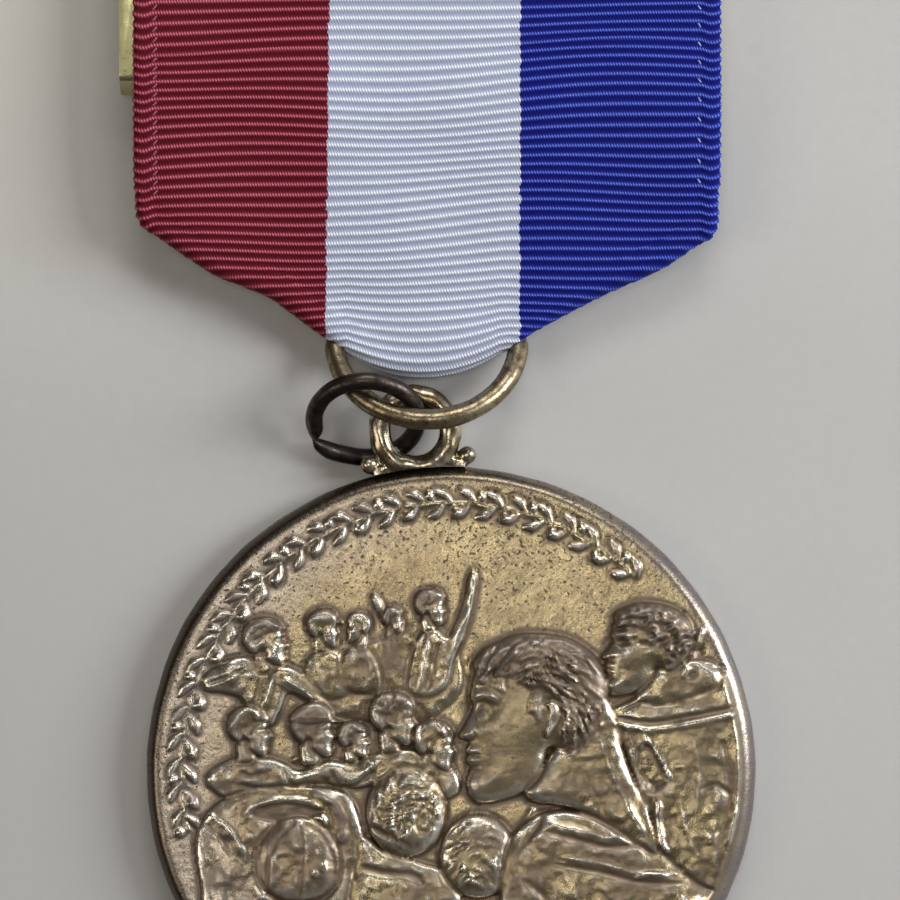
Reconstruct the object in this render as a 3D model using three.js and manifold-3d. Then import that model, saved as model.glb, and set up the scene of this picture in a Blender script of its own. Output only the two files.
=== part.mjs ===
// Service-style medal: a struck disc with a soldered eyelet hangs by a jump ring and a ribbon ring
// from a folded three-stripe ribbon, which a slotted brooch bar with a locking pin carries.
// The medal lies on its back: X right, Y from the disc towards the brooch, Z out of the face. Millimetres.
import * as THREE from 'three';
import { mergeVertices } from 'three/addons/utils/BufferGeometryUtils.js';
import Module from 'manifold-3d';

const wasm = await Module();
wasm.setup();

// ---- driving dimensions ----
const CENTRE_X = 0.685;            // middle of the whole part in the layout below
const CENTRE_Y = -8.3;

const RIBBON_W = 34.8;             // 1 3/8 in ribbon
const RIBBON_MID_X = 0.03;
const PLY = 0.5;                   // one ply of grosgrain
const RIBBON_SLOT_W = 33.2;        // drawn in where it passes the slot

const PLATE_X0 = -18.25, PLATE_X1 = 17.1;
const PLATE_TOP = 27.0;
const PLATE_Z0 = 3.0, PLATE_Z1 = 3.5;
const SLOT_Y0 = 24.3, SLOT_Y1 = 25.7, SLOT_HALF = 16.75;

const FLEX_Y = 13.1, FLEX_Z = 4.1; // line on which the ribbon bends below the bar
const PIN_Y = 20.65, PIN_Z = 1.35; // pin axis
const HINGE_X = 12.5, CATCH_X = -12.5;
const STEM_R = 0.42;

const BAR_Z = 1.3;                 // straight side of the ribbon ring, at Y = 0
const D_R = 5.48, D_LEG = 0.447, D_WIRE = 0.62, D_TILT = 32.55;
const JUMP_X = -3.612, JUMP_Y = -4.977, JUMP_Z = 2.682;
const JUMP_R = 3.086, JUMP_WIRE = 0.53, JUMP_TILT = 43.13, JUMP_YAW = 1.88;
const JUMP_END = 198, JUMP_START = 207;   // the ring stays open between these angles
const EYE_X = -0.692, EYE_Y = -5.678, EYE_Z = 2.06, EYE_R = 2.13, EYE_WIRE = 0.55;

const DISC_X = 1.42, DISC_Y = -26.0, DISC_R = 18.2;
const FIELD_Z = 2.35;              // flat of the obverse
const DISC_TURN = 5.9;             // the disc hangs turned by this much

const rad = THREE.MathUtils.degToRad;
const V = (x, y, z) => new THREE.Vector3(x, y, z);

// ---- shape helpers ----
const shapeOf = (pts, holes = []) => {
  const s = new THREE.Shape(pts.map(([a, b]) => new THREE.Vector2(a, b)));
  for (const h of holes) s.holes.push(new THREE.Path(h.map(([a, b]) => new THREE.Vector2(a, b))));
  return s;
};
const extruded = (pts, depth, holes) =>
  new THREE.ExtrudeGeometry(shapeOf(pts, holes), { depth, bevelEnabled: false, steps: 1 });
// outline in (Y, Z), extruded along X
const alongX = (pts, x0, x1, holes) => {
  const g = extruded(pts, x1 - x0, holes);
  g.applyMatrix4(new THREE.Matrix4().makeBasis(V(0, 1, 0), V(0, 0, 1), V(1, 0, 0)));
  return g.translate(x0, 0, 0);
};
// outline in (Z, X), extruded along Y
const alongY = (pts, y0, y1, holes) => {
  const g = extruded(pts, y1 - y0, holes);
  g.applyMatrix4(new THREE.Matrix4().makeBasis(V(0, 0, 1), V(1, 0, 0), V(0, 1, 0)));
  return g.translate(0, y0, 0);
};
// outline in (X, Y), extruded along Z
const alongZ = (pts, z0, z1, holes) => extruded(pts, z1 - z0, holes).translate(0, 0, z0);
const box = (x0, x1, y0, y1, z0, z1) =>
  new THREE.BoxGeometry(x1 - x0, y1 - y0, z1 - z0).translate((x0 + x1) / 2, (y0 + y1) / 2, (z0 + z1) / 2);
const arc = (cx, cy, r, a0, a1, n) =>
  Array.from({ length: n + 1 }, (_, i) => {
    const a = rad(a0 + (a1 - a0) * i / n);
    return [cx + r * Math.cos(a), cy + r * Math.sin(a)];
  });
const circle = (cx, cy, r, n) => arc(cx, cy, r, 0, 360 - 360 / n, n - 1);
const roundRect = (x0, x1, y0, y1, r, n = 3) => [
  ...arc(x1 - r, y0 + r, r, -90, 0, n), ...arc(x1 - r, y1 - r, r, 0, 90, n),
  ...arc(x0 + r, y1 - r, r, 90, 180, n), ...arc(x0 + r, y0 + r, r, 180, 270, n)];

const solid = (geometry) => {
  let g = geometry.clone();
  g.deleteAttribute('normal');
  g.deleteAttribute('uv');
  g = mergeVertices(g, 1e-5);
  return new wasm.Manifold(new wasm.Mesh({
    numProp: 3,
    vertProperties: new Float32Array(g.attributes.position.array),
    triVerts: new Uint32Array(g.index.array),
  }));
};
const geometryOf = (manifold) => {
  const m = manifold.getMesh();
  const p = new Float32Array(m.numVert * 3);
  for (let i = 0; i < m.numVert; i++)
    for (let k = 0; k < 3; k++) p[i * 3 + k] = m.vertProperties[i * m.numProp + k];
  const g = new THREE.BufferGeometry();
  g.setAttribute('position', new THREE.BufferAttribute(p, 3));
  g.setIndex(new THREE.BufferAttribute(new Uint32Array(m.triVerts), 1));
  g.computeVertexNormals();
  return g;
};
const join = (...gs) => gs.map(solid).reduce((a, b) => a.add(b));

// round wire of the given radius along a curve
const wire = (curve, r, steps, sides) =>
  new THREE.ExtrudeGeometry(shapeOf(circle(0, 0, r, sides)), { steps, extrudePath: curve, bevelEnabled: false });
class ArcPath extends THREE.Curve {
  constructor(fn) { super(); this.fn = fn; }
  getPoint(t, target = new THREE.Vector3()) { return target.copy(this.fn(t)); }
}

const medal = new THREE.Group();
const layout = new THREE.Group();
layout.position.set(-CENTRE_X, -CENTRE_Y, 0);
medal.add(layout);
const put = (name, geometry, color, roughness, metalness) => {
  const mesh = new THREE.Mesh(geometry, new THREE.MeshStandardMaterial({ color, roughness, metalness }));
  mesh.name = name;
  layout.add(mesh);
  return mesh;
};

const BRASS = 0xa89a63, OLD_BRASS = 0x9a8f74, DARK = 0x4a4238, SILVER = 0xb8b4ab, NICKEL = 0xb9b7b0;

// ---- brooch bar: a bent strip with a slot for the ribbon and a lip turned back along its lower edge ----
{
  const section = [
    [PLATE_TOP, PLATE_Z0], [PLATE_TOP, PLATE_Z1], [15.35, PLATE_Z1], [15.12, 3.45], [14.95, 3.33],
    [14.85, 3.17], [14.30, 2.0], [14.75, 1.8], [15.27, 2.93], [15.35, PLATE_Z0]];
  let s = solid(alongX(section, PLATE_X0, PLATE_X1));
  s = s.intersect(solid(alongZ(
    [[PLATE_X0, 13], [PLATE_X1, 13], ...arc(PLATE_X1 - 0.9, PLATE_TOP - 0.9, 0.9, 0, 90, 4),
      ...arc(PLATE_X0 + 0.9, PLATE_TOP - 0.9, 0.9, 90, 180, 4)], 0, 5)));
  s = s.subtract(solid(alongZ(roundRect(-SLOT_HALF - 0.1, SLOT_HALF, SLOT_Y0, SLOT_Y1, 0.4), 2, 5)));
  put('brooch_plate', geometryOf(s), BRASS, 0.4, 1.0);
}

// ---- pin hinge: U bracket, rivet, stem ----
{
  const ears = [
    [2.93, HINGE_X - 1.5], [2.93, HINGE_X + 1.5], [2.5, HINGE_X + 1.5],
    ...arc(PIN_Z, HINGE_X, 1.2, 60, 300, 10), [2.5, HINGE_X - 1.5]];
  let s = solid(alongY(ears, PIN_Y - 1.35, PIN_Y + 1.35));
  s = s.subtract(solid(box(HINGE_X - 2, HINGE_X + 2, PIN_Y - 0.9, PIN_Y + 0.9, -1, 2.5)));
  s = s.subtract(solid(alongY(circle(PIN_Z, HINGE_X, 0.45, 12), PIN_Y - 3, PIN_Y + 3)));
  put('hinge_bracket', geometryOf(s), BRASS, 0.42, 1.0);

  const rivet = new THREE.LatheGeometry([
    [0, -1.75], [0.5, -1.72], [0.66, -1.6], [0.66, -1.45], [0.35, -1.45], [0.35, 1.45], [0.66, 1.45],
    [0.66, 1.6], [0.5, 1.72], [0, 1.75]].map(([a, b]) => new THREE.Vector2(a, b)), 12);
  rivet.translate(HINGE_X, PIN_Y, PIN_Z);
  put('hinge_rivet', rivet, NICKEL, 0.35, 1.0);

  const eye = solid(alongY(circle(PIN_Z, HINGE_X, 1.0, 16), PIN_Y - 0.75, PIN_Y + 0.75));
  const stem = new THREE.LatheGeometry([
    [0, 0], [0.5, 0], [STEM_R, 1.2], [STEM_R, 22.8], [0.28, 24.6], [0.1, 26.0], [0, 26.2]]
    .map(([a, b]) => new THREE.Vector2(a, b)), 12);
  stem.rotateZ(Math.PI / 2).translate(HINGE_X - 0.7, PIN_Y, PIN_Z);
  const bore = solid(alongY(circle(PIN_Z, HINGE_X, 0.45, 12), PIN_Y - 2, PIN_Y + 2));
  put('pin_stem', geometryOf(eye.add(solid(stem)).subtract(bore)), NICKEL, 0.3, 1.0);
}

// ---- locking catch: two cheeks open away from the plate, and a C rotor that turns to shut them ----
{
  const x0 = CATCH_X - 1.0, x1 = CATCH_X + 1.0;
  let s = join(
    alongX(circle(PIN_Y, PIN_Z, 1.35, 20), x0, x1),
    box(x0, x1, PIN_Y - 1.0, PIN_Y + 1.0, PIN_Z, 2.6),
    box(x0 - 0.35, x1 + 0.35, PIN_Y - 1.4, PIN_Y + 1.4, 2.5, 2.93));
  s = s.subtract(solid(alongX(circle(PIN_Y, PIN_Z, 0.97, 20), x0 - 1, x1 + 1)));
  s = s.subtract(solid(box(x0 - 1, x1 + 1, PIN_Y - 0.56, PIN_Y + 0.56, -1, PIN_Z)));
  s = s.subtract(solid(box(CATCH_X - 0.42, CATCH_X + 0.42, PIN_Y - 3, PIN_Y + 3, -1, 2.5)));
  put('catch_body', geometryOf(s), BRASS, 0.42, 1.0);

  let r = join(
    alongX(circle(PIN_Y, PIN_Z, 0.86, 20), x0 + 0.05, x1 - 0.05),
    alongX([
      ...arc(PIN_Y, PIN_Z, 1.12, 40, 320, 12), [PIN_Y + 1.7, PIN_Z - 0.3], [PIN_Y + 2.3, PIN_Z - 0.36],
      [PIN_Y + 2.42, PIN_Z], [PIN_Y + 2.3, PIN_Z + 0.36], [PIN_Y + 1.7, PIN_Z + 0.3]],
    CATCH_X - 0.3, CATCH_X + 0.3));
  r = r.subtract(solid(alongX(circle(PIN_Y, PIN_Z, 0.58, 16), x0 - 1, x1 + 1)));
  r = r.subtract(solid(box(x0 - 1, x1 + 1, PIN_Y - 0.5, PIN_Y + 0.5, -1, PIN_Z)));
  put('catch_lock', geometryOf(r), NICKEL, 0.35, 1.0);
}

// ---- ribbon ----
const HALF = RIBBON_W / 2;
{
  // heading: both plies in front of the plate, over the top bar and back through the slot
  const section = [
    [13.9, 3.6], [25.1, 3.6], [25.1, 2.55], [25.25, 2.4], [27.3, 2.4], [27.5, 2.5], [27.6, 2.7],
    [27.6, 4.3], [27.5, 4.5], [27.3, 4.6], [13.9, 4.6]];
  const bar = [[25.6, 2.9], [27.1, 2.9], [27.1, 3.6], [25.6, 3.6]];
  const plan = [
    [-HALF, 13], [HALF, 13], [HALF, 23.2], [RIBBON_SLOT_W / 2, 24.2], [RIBBON_SLOT_W / 2, 28],
    [-RIBBON_SLOT_W / 2, 28], [-RIBBON_SLOT_W / 2, 24.2], [-HALF, 23.2]];
  const s = solid(alongX(section, -20, 20, [bar])).intersect(solid(alongZ(plan, 0, 6)));
  put('ribbon_heading', geometryOf(s).translate(RIBBON_MID_X, 0, 0), 0x8a8aa0, 0.85, 0.0);
}
{
  // drape: the two plies spread round the ring's bar, in the plan of a five-sided ribbon
  const section = [
    ...arc(FLEX_Y, FLEX_Z, 0.5, -90, 90, 6), [1.5, 2.62], [-1.0, 2.45], [-1.9, 2.1], [-2.35, 1.6],
    [-2.35, 1.0], [-1.9, 0.5], [-1.0, 0.12], [1.5, 0.08]];
  const channel = circle(0, BAR_Z, 0.84, 10);
  const plan = [
    [-HALF, 14], [-HALF, 8.2], [-HALF + 0.3, 7.0], [-HALF + 0.9, 6.3], [-7.6, 1.0], [-4.5, 1.0], [-4.5, 0.2],
    [-4.15, -1.3], [-3.3, -2.1], [-2.2, -2.4], [2.2, -2.4], [3.3, -2.1], [4.15, -1.3], [4.5, 0.2],
    [4.5, 1.0], [7.6, 1.0], [HALF - 0.9, 6.3], [HALF - 0.3, 7.0], [HALF, 8.2], [HALF, 14]];
  const s = solid(alongX(section, -20, 20, [channel])).intersect(solid(alongZ(plan, -1, 6)));
  put('ribbon_drape', geometryOf(s).translate(RIBBON_MID_X, 0, 0), 0x8a8aa0, 0.85, 0.0);

  // seam across the rear ply
  const slope = Math.atan2(3.6 - 0.08, FLEX_Y - 1.5);
  const y = 10.4, z = 3.6 - (FLEX_Y - y) * Math.tan(slope);
  const seam = new THREE.BoxGeometry(31, 0.5, 0.16).rotateX(slope).translate(RIBBON_MID_X, y, z - 0.2);
  put('ribbon_seam', seam, 0xd8d4cc, 0.8, 0.0);
}

// ---- ribbon ring: straight bar in the ribbon's fold, half-round bow below it ----
{
  const t = rad(D_TILT);
  const half = (side) => {
    const corner = 0.9;
    const on = (a) => {
      const down = D_LEG + D_R * Math.cos(a);
      return V(side * D_R * Math.sin(a), -down * Math.cos(t), BAR_Z + down * Math.sin(t));
    };
    const list = [];
    for (let i = 0; i <= 4; i++) list.push(V(side * (-0.15 + (D_R - corner + 0.15) * i / 4), 0, BAR_Z));
    const a0 = Math.PI / 2 - 0.09;
    const p0 = V(side * (D_R - corner), 0, BAR_Z), p1 = V(side * D_R, 0, BAR_Z), p2 = on(a0);
    for (let i = 1; i <= 3; i++) {
      const u = i / 4, q = p0.clone().multiplyScalar((1 - u) ** 2)
        .add(p1.clone().multiplyScalar(2 * u * (1 - u))).add(p2.clone().multiplyScalar(u * u));
      list.push(q);
    }
    for (let i = 0; i <= 12; i++) list.push(on(a0 * (1 - i / 12) + 0.03 * (i / 12)));
    const end = on(0);
    list.push(end.clone().add(V(-side * 0.02, 0, 0)), end.clone().add(V(-side * 0.15, 0, 0)));
    const curve = new THREE.CatmullRomCurve3(list, false, 'centripetal');
    return wire(curve, D_WIRE, 26, 10);
  };
  put('ribbon_ring', geometryOf(join(half(1), half(-1))), OLD_BRASS, 0.38, 1.0);
}

// ---- jump ring: open, its ends a little out of line ----
{
  const t = rad(JUMP_TILT), y = rad(JUMP_YAW);
  const at = (u) => {
    const a = rad(JUMP_START + (360 + JUMP_END - JUMP_START) * u);
    const out = 0.22 * Math.max(0, 1 - u / 0.1) ** 2;
    const r = JUMP_R + out;
    const p = V(r * Math.cos(a), r * Math.sin(a) * Math.cos(t), r * Math.sin(a) * Math.sin(t));
    return p.applyAxisAngle(V(0, 0, 1), y).add(V(JUMP_X, JUMP_Y, JUMP_Z));
  };
  put('jump_ring', wire(new ArcPath(at), JUMP_WIRE, 40, 10), DARK, 0.45, 0.9);
}

// ---- disc ----
const discProfile = (r) => [
  [0, 0], [r - 0.6, 0], [r - 0.2, 0.12], [r, 0.5], [r, 1.55], [r - 0.22, 2.05], [r - 0.7, FIELD_Z], [0, FIELD_Z]];
const lathe = (pts, n) =>
  new THREE.LatheGeometry(pts.map(([a, b]) => new THREE.Vector2(a, b)), n).rotateX(Math.PI / 2);
{
  // eyelet: ring on a foot that follows the rim between two beads
  const turn = 90 + DISC_TURN;
  const ring = new THREE.LatheGeometry(
    [...circle(EYE_R, 0, EYE_WIRE, 10), [EYE_R + EYE_WIRE, 0]].map(([a, b]) => new THREE.Vector2(a, b)), 28)
    .rotateX(Math.PI / 2).translate(EYE_X, EYE_Y, EYE_Z);
  const foot = alongZ([
    ...arc(DISC_X, DISC_Y, DISC_R - 0.3, turn - 8.6, turn + 8.6, 8),
    ...arc(DISC_X, DISC_Y, DISC_R + 0.52, turn + 8.6, turn - 8.6, 8)], 1.0, 2.3);
  const polar = (a, r) => [DISC_X + r * Math.cos(rad(a)), DISC_Y + r * Math.sin(rad(a))];
  const neck = alongZ([polar(turn - 5.2, DISC_R + 0.3), polar(turn - 4.3, DISC_R + 1.15), polar(turn + 4.3, DISC_R + 1.15),
    polar(turn + 5.2, DISC_R + 0.3)], 1.3, 2.5);
  const bead = (a) => {
    const [x, y] = polar(a, DISC_R + 0.72);
    return new THREE.SphereGeometry(0.55, 10, 7).translate(x, y, 1.85);
  };
  let s = join(foot, neck, bead(turn - 8.9), bead(turn + 8.9));
  // the hole through the ring stays open, the disc keeps its seat
  s = s.subtract(solid(alongZ(circle(EYE_X, EYE_Y, EYE_R - 0.1, 28), -1, 6))).add(solid(ring));
  s = s.subtract(solid(lathe([[0, -2], [DISC_R + 0.1, -2], [DISC_R + 0.1, 6], [0, 6]], 96).translate(DISC_X, DISC_Y, 0)));
  put('suspension_eyelet', geometryOf(s), SILVER, 0.3, 1.0);
}
{
  let s = solid(lathe(discProfile(DISC_R), 96));
  const blob = (x, y, rx, ry, h, n = 12, m = 7) =>
    solid(new THREE.SphereGeometry(1, n, m).scale(rx, ry, h + 0.4).translate(x, y, FIELD_Z - 0.4));
  // figures in relief: [x, y, half width, half height, height above the field]
  const figures = [
    [5.0, 4.1, 4.4, 5.0, 0.85], [3.4, -1.0, 3.0, 2.4, 0.6], [11.8, 6.9, 2.9, 3.2, 0.6],
    [-10.8, 7.5, 1.3, 1.5, 0.4], [-7.5, 8.3, 0.9, 1.0, 0.3], [-5.6, 8.5, 0.8, 0.9, 0.3], [-1.1, 9.7, 0.8, 0.9, 0.35],
    [-11.9, 2.3, 1.3, 1.5, 0.45], [-7.9, 2.4, 1.3, 1.6, 0.45], [-3.3, 3.1, 1.5, 1.7, 0.45], [-0.9, 1.6, 1.4, 1.5, 0.4],
    [-2.5, -2.3, 2.7, 3.0, 0.6], [-9.2, -5.2, 2.9, 2.9, 0.65], [1.6, -4.9, 2.5, 2.6, 0.5],
    [8.0, -6.5, 6.0, 4.5, 0.7], [12.6, -0.6, 3.2, 5.4, 0.5], [-4.5, -10.0, 5.5, 3.4, 0.4], [4.5, -12.2, 6.5, 3.2, 0.45]];
  for (const [x, y, rx, ry, h] of figures) s = s.add(blob(x, y, rx, ry, h));
  // raised ornament band, open where the figures reach the rim
  const band = alongZ([
    ...arc(0, 0, 15.3, 43, 195, 40), ...arc(0, 0, 16.9, 195, 43, 40)], FIELD_Z - 0.3, FIELD_Z + 0.22);
  s = s.add(solid(band));
  const g = geometryOf(s).translate(DISC_X, DISC_Y, 0);
  put('medal_disc', g, 0x9c906a, 0.38, 1.0);
}

export default medal;
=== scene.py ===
import math

import bpy
import bmesh
import numpy as np
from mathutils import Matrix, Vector


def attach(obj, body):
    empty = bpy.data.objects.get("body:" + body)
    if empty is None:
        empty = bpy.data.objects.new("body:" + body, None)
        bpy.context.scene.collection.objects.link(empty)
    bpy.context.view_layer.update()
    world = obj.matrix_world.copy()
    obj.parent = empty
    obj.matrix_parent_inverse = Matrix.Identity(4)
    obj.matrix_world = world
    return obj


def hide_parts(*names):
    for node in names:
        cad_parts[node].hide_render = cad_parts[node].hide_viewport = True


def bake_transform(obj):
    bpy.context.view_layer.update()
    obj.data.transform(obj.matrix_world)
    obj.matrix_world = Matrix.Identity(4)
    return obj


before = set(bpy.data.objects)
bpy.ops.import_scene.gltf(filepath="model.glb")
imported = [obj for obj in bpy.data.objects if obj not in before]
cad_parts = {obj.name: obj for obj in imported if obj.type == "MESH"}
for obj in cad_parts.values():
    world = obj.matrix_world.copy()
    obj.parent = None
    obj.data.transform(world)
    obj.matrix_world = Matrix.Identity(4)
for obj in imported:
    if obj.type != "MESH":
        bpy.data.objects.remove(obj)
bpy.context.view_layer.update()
scene = bpy.context.scene
scene.view_settings.view_transform = "Standard"

# Lengths below are millimetres in the part's layout; the row frame's origin is at (CX, CY) there.
CX, CY = 0.685, -8.3


def to_row(p):
    p = np.asarray(p, float).reshape(-1, 3)
    return (p - np.array([CX, CY, 0.0])) / 1000.0


def row_point(x, y, z):
    return tuple(float(c) for c in to_row((x, y, z))[0])


# ------------------------------------------------------------------ mesh helpers
def smoothstep(a, b, x):
    t = np.clip((x - a) / (b - a), 0, 1)
    return t * t * (3 - 2 * t)


def new_object(name, verts_mm, faces, smooth=True, attributes=None):
    me = bpy.data.meshes.new(name)
    v = to_row(verts_mm)
    faces = [np.asarray(f) for f in faces] if not isinstance(faces, np.ndarray) else faces
    if isinstance(faces, np.ndarray):
        n, k = faces.shape
        me.vertices.add(len(v))
        me.vertices.foreach_set("co", v.astype(np.float32).ravel())
        me.loops.add(n * k)
        me.loops.foreach_set("vertex_index", faces.astype(np.int32).ravel())
        me.polygons.add(n)
        me.polygons.foreach_set("loop_start", np.arange(0, n * k, k, dtype=np.int32))
        me.polygons.foreach_set("loop_total", np.full(n, k, dtype=np.int32))
    else:
        me.from_pydata([tuple(p) for p in v], [], [tuple(int(i) for i in f) for f in faces])
    for key, values in (attributes or {}).items():
        values = np.asarray(values, np.float32)
        if values.ndim == 2:
            a = me.attributes.new(key, "FLOAT_VECTOR", "POINT")
            a.data.foreach_set("vector", values.ravel())
        else:
            a = me.attributes.new(key, "FLOAT", "POINT")
            a.data.foreach_set("value", values)
    me.update(calc_edges=True)
    me.validate()
    if smooth:
        me.polygons.foreach_set("use_smooth", np.ones(len(me.polygons), dtype=bool))
    ob = bpy.data.objects.new(name, me)
    scene.collection.objects.link(ob)
    return ob


def outward(ob):
    bm = bmesh.new()
    bm.from_mesh(ob.data)
    bmesh.ops.recalc_face_normals(bm, faces=bm.faces[:])
    bm.to_mesh(ob.data)
    bm.free()
    return ob


def join(objects, name):
    bpy.ops.object.select_all(action="DESELECT")
    for o in objects:
        o.select_set(True)
    bpy.context.view_layer.objects.active = objects[0]
    bpy.ops.object.join()
    out = bpy.context.view_layer.objects.active
    out.name = name
    out.data.name = name
    return out


def apply_modifiers(ob):
    bpy.context.view_layer.update()
    deps = bpy.context.evaluated_depsgraph_get()
    me = bpy.data.meshes.new_from_object(ob.evaluated_get(deps), depsgraph=deps)
    old = ob.data
    ob.modifiers.clear()
    ob.data = me
    bpy.data.meshes.remove(old)
    return ob


def boolean(ob, other, op, keep=False):
    m = ob.modifiers.new("b", "BOOLEAN")
    m.operation = op
    m.solver = "EXACT"
    m.object = other
    apply_modifiers(ob)
    if not keep:
        bpy.data.objects.remove(other, do_unlink=True)
    return ob


def shade(ob, degrees=35):
    ob.data.polygons.foreach_set("use_smooth", np.ones(len(ob.data.polygons), dtype=bool))
    bm = bmesh.new()
    bm.from_mesh(ob.data)
    limit = math.radians(degrees)
    for e in bm.edges:
        if len(e.link_faces) == 2 and e.calc_face_angle(0) > limit:
            e.smooth = False
    bm.to_mesh(ob.data)
    bm.free()
    ob.data.update()
    return ob


def bevelled(ob, width_mm, segments=3, angle=40):
    bm = bmesh.new()
    bm.from_mesh(ob.data)
    bmesh.ops.remove_doubles(bm, verts=bm.verts[:], dist=2e-6)
    bmesh.ops.dissolve_limit(bm, angle_limit=math.radians(1.0), verts=bm.verts[:], edges=bm.edges[:])
    edges = [e for e in bm.edges if len(e.link_faces) == 2 and e.calc_face_angle(0) > math.radians(angle)]
    bmesh.ops.bevel(bm, geom=edges, offset=width_mm / 1000, segments=segments, profile=0.6,
                    affect="EDGES", clamp_overlap=True)
    bm.to_mesh(ob.data)
    bm.free()
    shade(ob, 30)
    return ob


def polygon_plate(name, outline, lo, hi, axis="Z", holes=()):
    """Closed plate from an outline with holes. axis is the direction that it is extruded in, and the outline's
    two coordinates are (X, Y) for Z, (Y, Z) for X and (Z, X) for Y."""
    cu = bpy.data.curves.new(name, "CURVE")
    cu.dimensions = "2D"
    cu.fill_mode = "BOTH"
    for ring in (outline, *holes):
        sp = cu.splines.new("POLY")
        sp.points.add(len(ring) - 1)
        for p, (a, b) in zip(sp.points, ring):
            p.co = (a, b, 0, 1)
        sp.use_cyclic_u = True
    cu.extrude = (hi - lo) / 2
    tmp = bpy.data.objects.new(name, cu)
    scene.collection.objects.link(tmp)
    bpy.context.view_layer.update()
    me = bpy.data.meshes.new_from_object(tmp)
    bpy.data.objects.remove(tmp, do_unlink=True)
    co = np.array([v.co for v in me.vertices], float).reshape(-1, 3)
    co[:, 2] += (hi + lo) / 2
    if axis == "X":
        co = co[:, [2, 0, 1]]
    elif axis == "Y":
        co = co[:, [1, 2, 0]]
    me.vertices.foreach_set("co", to_row(co).astype(np.float32).ravel())
    me.update()
    ob = bpy.data.objects.new(name, me)
    scene.collection.objects.link(ob)
    bm = bmesh.new()
    bm.from_mesh(me)
    bmesh.ops.remove_doubles(bm, verts=bm.verts[:], dist=1e-7)
    bmesh.ops.recalc_face_normals(bm, faces=bm.faces[:])
    bm.to_mesh(me)
    bm.free()
    return ob


def arc(cx, cy, r, a0, a1, n):
    return [(cx + r * math.cos(math.radians(a0 + (a1 - a0) * i / n)),
             cy + r * math.sin(math.radians(a0 + (a1 - a0) * i / n))) for i in range(n + 1)]


def circle(cx, cy, r, n):
    return arc(cx, cy, r, 0, 360 * (n - 1) / n, n - 1)


def sweep(name, path, section, closed=False, frames=None, cap=True):
    """Tube along path (n, 3); section is (n, m, 2) or (m, 2) offsets along each point's two cross directions."""
    path = np.asarray(path, float)
    n = len(path)
    section = np.asarray(section, float)
    if section.ndim == 2:
        section = np.repeat(section[None], n, axis=0)
    m = section.shape[1]
    if frames is None:
        if closed:
            t = np.roll(path, -1, 0) - np.roll(path, 1, 0)
        else:
            t = np.gradient(path, axis=0)
        t /= np.linalg.norm(t, axis=1)[:, None]
        a = np.zeros_like(path)
        ref = np.array([0, 0, 1.0]) if abs(t[0, 2]) < 0.9 else np.array([1.0, 0, 0])
        prev = ref - t[0] * (ref @ t[0])
        prev /= np.linalg.norm(prev)
        for i in range(n):
            prev = prev - t[i] * (prev @ t[i])
            prev /= np.linalg.norm(prev)
            a[i] = prev
        b = np.cross(t, a)
    else:
        a, b = frames
    verts = path[:, None] + section[..., :1] * a[:, None] + section[..., 1:] * b[:, None]
    verts = verts.reshape(-1, 3)
    rows = n if closed else n - 1
    i, j = np.meshgrid(np.arange(rows), np.arange(m), indexing="ij")
    i2, j2 = (i + 1) % n, (j + 1) % m
    quads = np.stack([i * m + j, i * m + j2, i2 * m + j2, i2 * m + j], -1).reshape(-1, 4)
    if closed or not cap:
        ob = new_object(name, verts, quads)
        return outward(ob)
    faces = [list(q) for q in quads] + [list(range(m))[::-1], [(n - 1) * m + k for k in range(m)]]
    return outward(new_object(name, verts, faces))


def lathe(name, profile, centre, axis="Z", n=64):
    """Solid of revolution; profile is [(r, h)] from the axis to the axis."""
    prof = np.asarray(profile, float)
    inner = prof[1:-1]
    th = np.linspace(0, 2 * np.pi, n, endpoint=False)
    ring = np.stack([np.cos(th), np.sin(th)], -1)
    v = [np.array([[0, 0, prof[0, 1]]])]
    for r, h in inner:
        v.append(np.c_[ring * r, np.full(n, h)])
    v.append(np.array([[0, 0, prof[-1, 1]]]))
    v = np.concatenate(v)
    faces = []
    k = len(inner)
    for j in range(n):
        j2 = (j + 1) % n
        faces.append((0, 1 + j2, 1 + j))
        for i in range(k - 1):
            a, b = 1 + i * n, 1 + (i + 1) * n
            faces.append((a + j, a + j2, b + j2, b + j))
        a = 1 + (k - 1) * n
        faces.append((a + j, a + j2, len(v) - 1))
    if axis == "X":
        v = v[:, [2, 0, 1]]
    elif axis == "Y":
        v = v[:, [1, 2, 0]]
    return outward(new_object(name, v + np.asarray(centre, float), faces))


# ------------------------------------------------------------------ node material helpers
def material(name):
    m = bpy.data.materials.new(name)
    m.use_nodes = True
    m.node_tree.nodes.clear()
    nt = m.node_tree
    out = nt.nodes.new("ShaderNodeOutputMaterial")
    bsdf = nt.nodes.new("ShaderNodeBsdfPrincipled")
    nt.links.new(bsdf.outputs[0], out.inputs[0])
    return m, nt, bsdf


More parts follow.
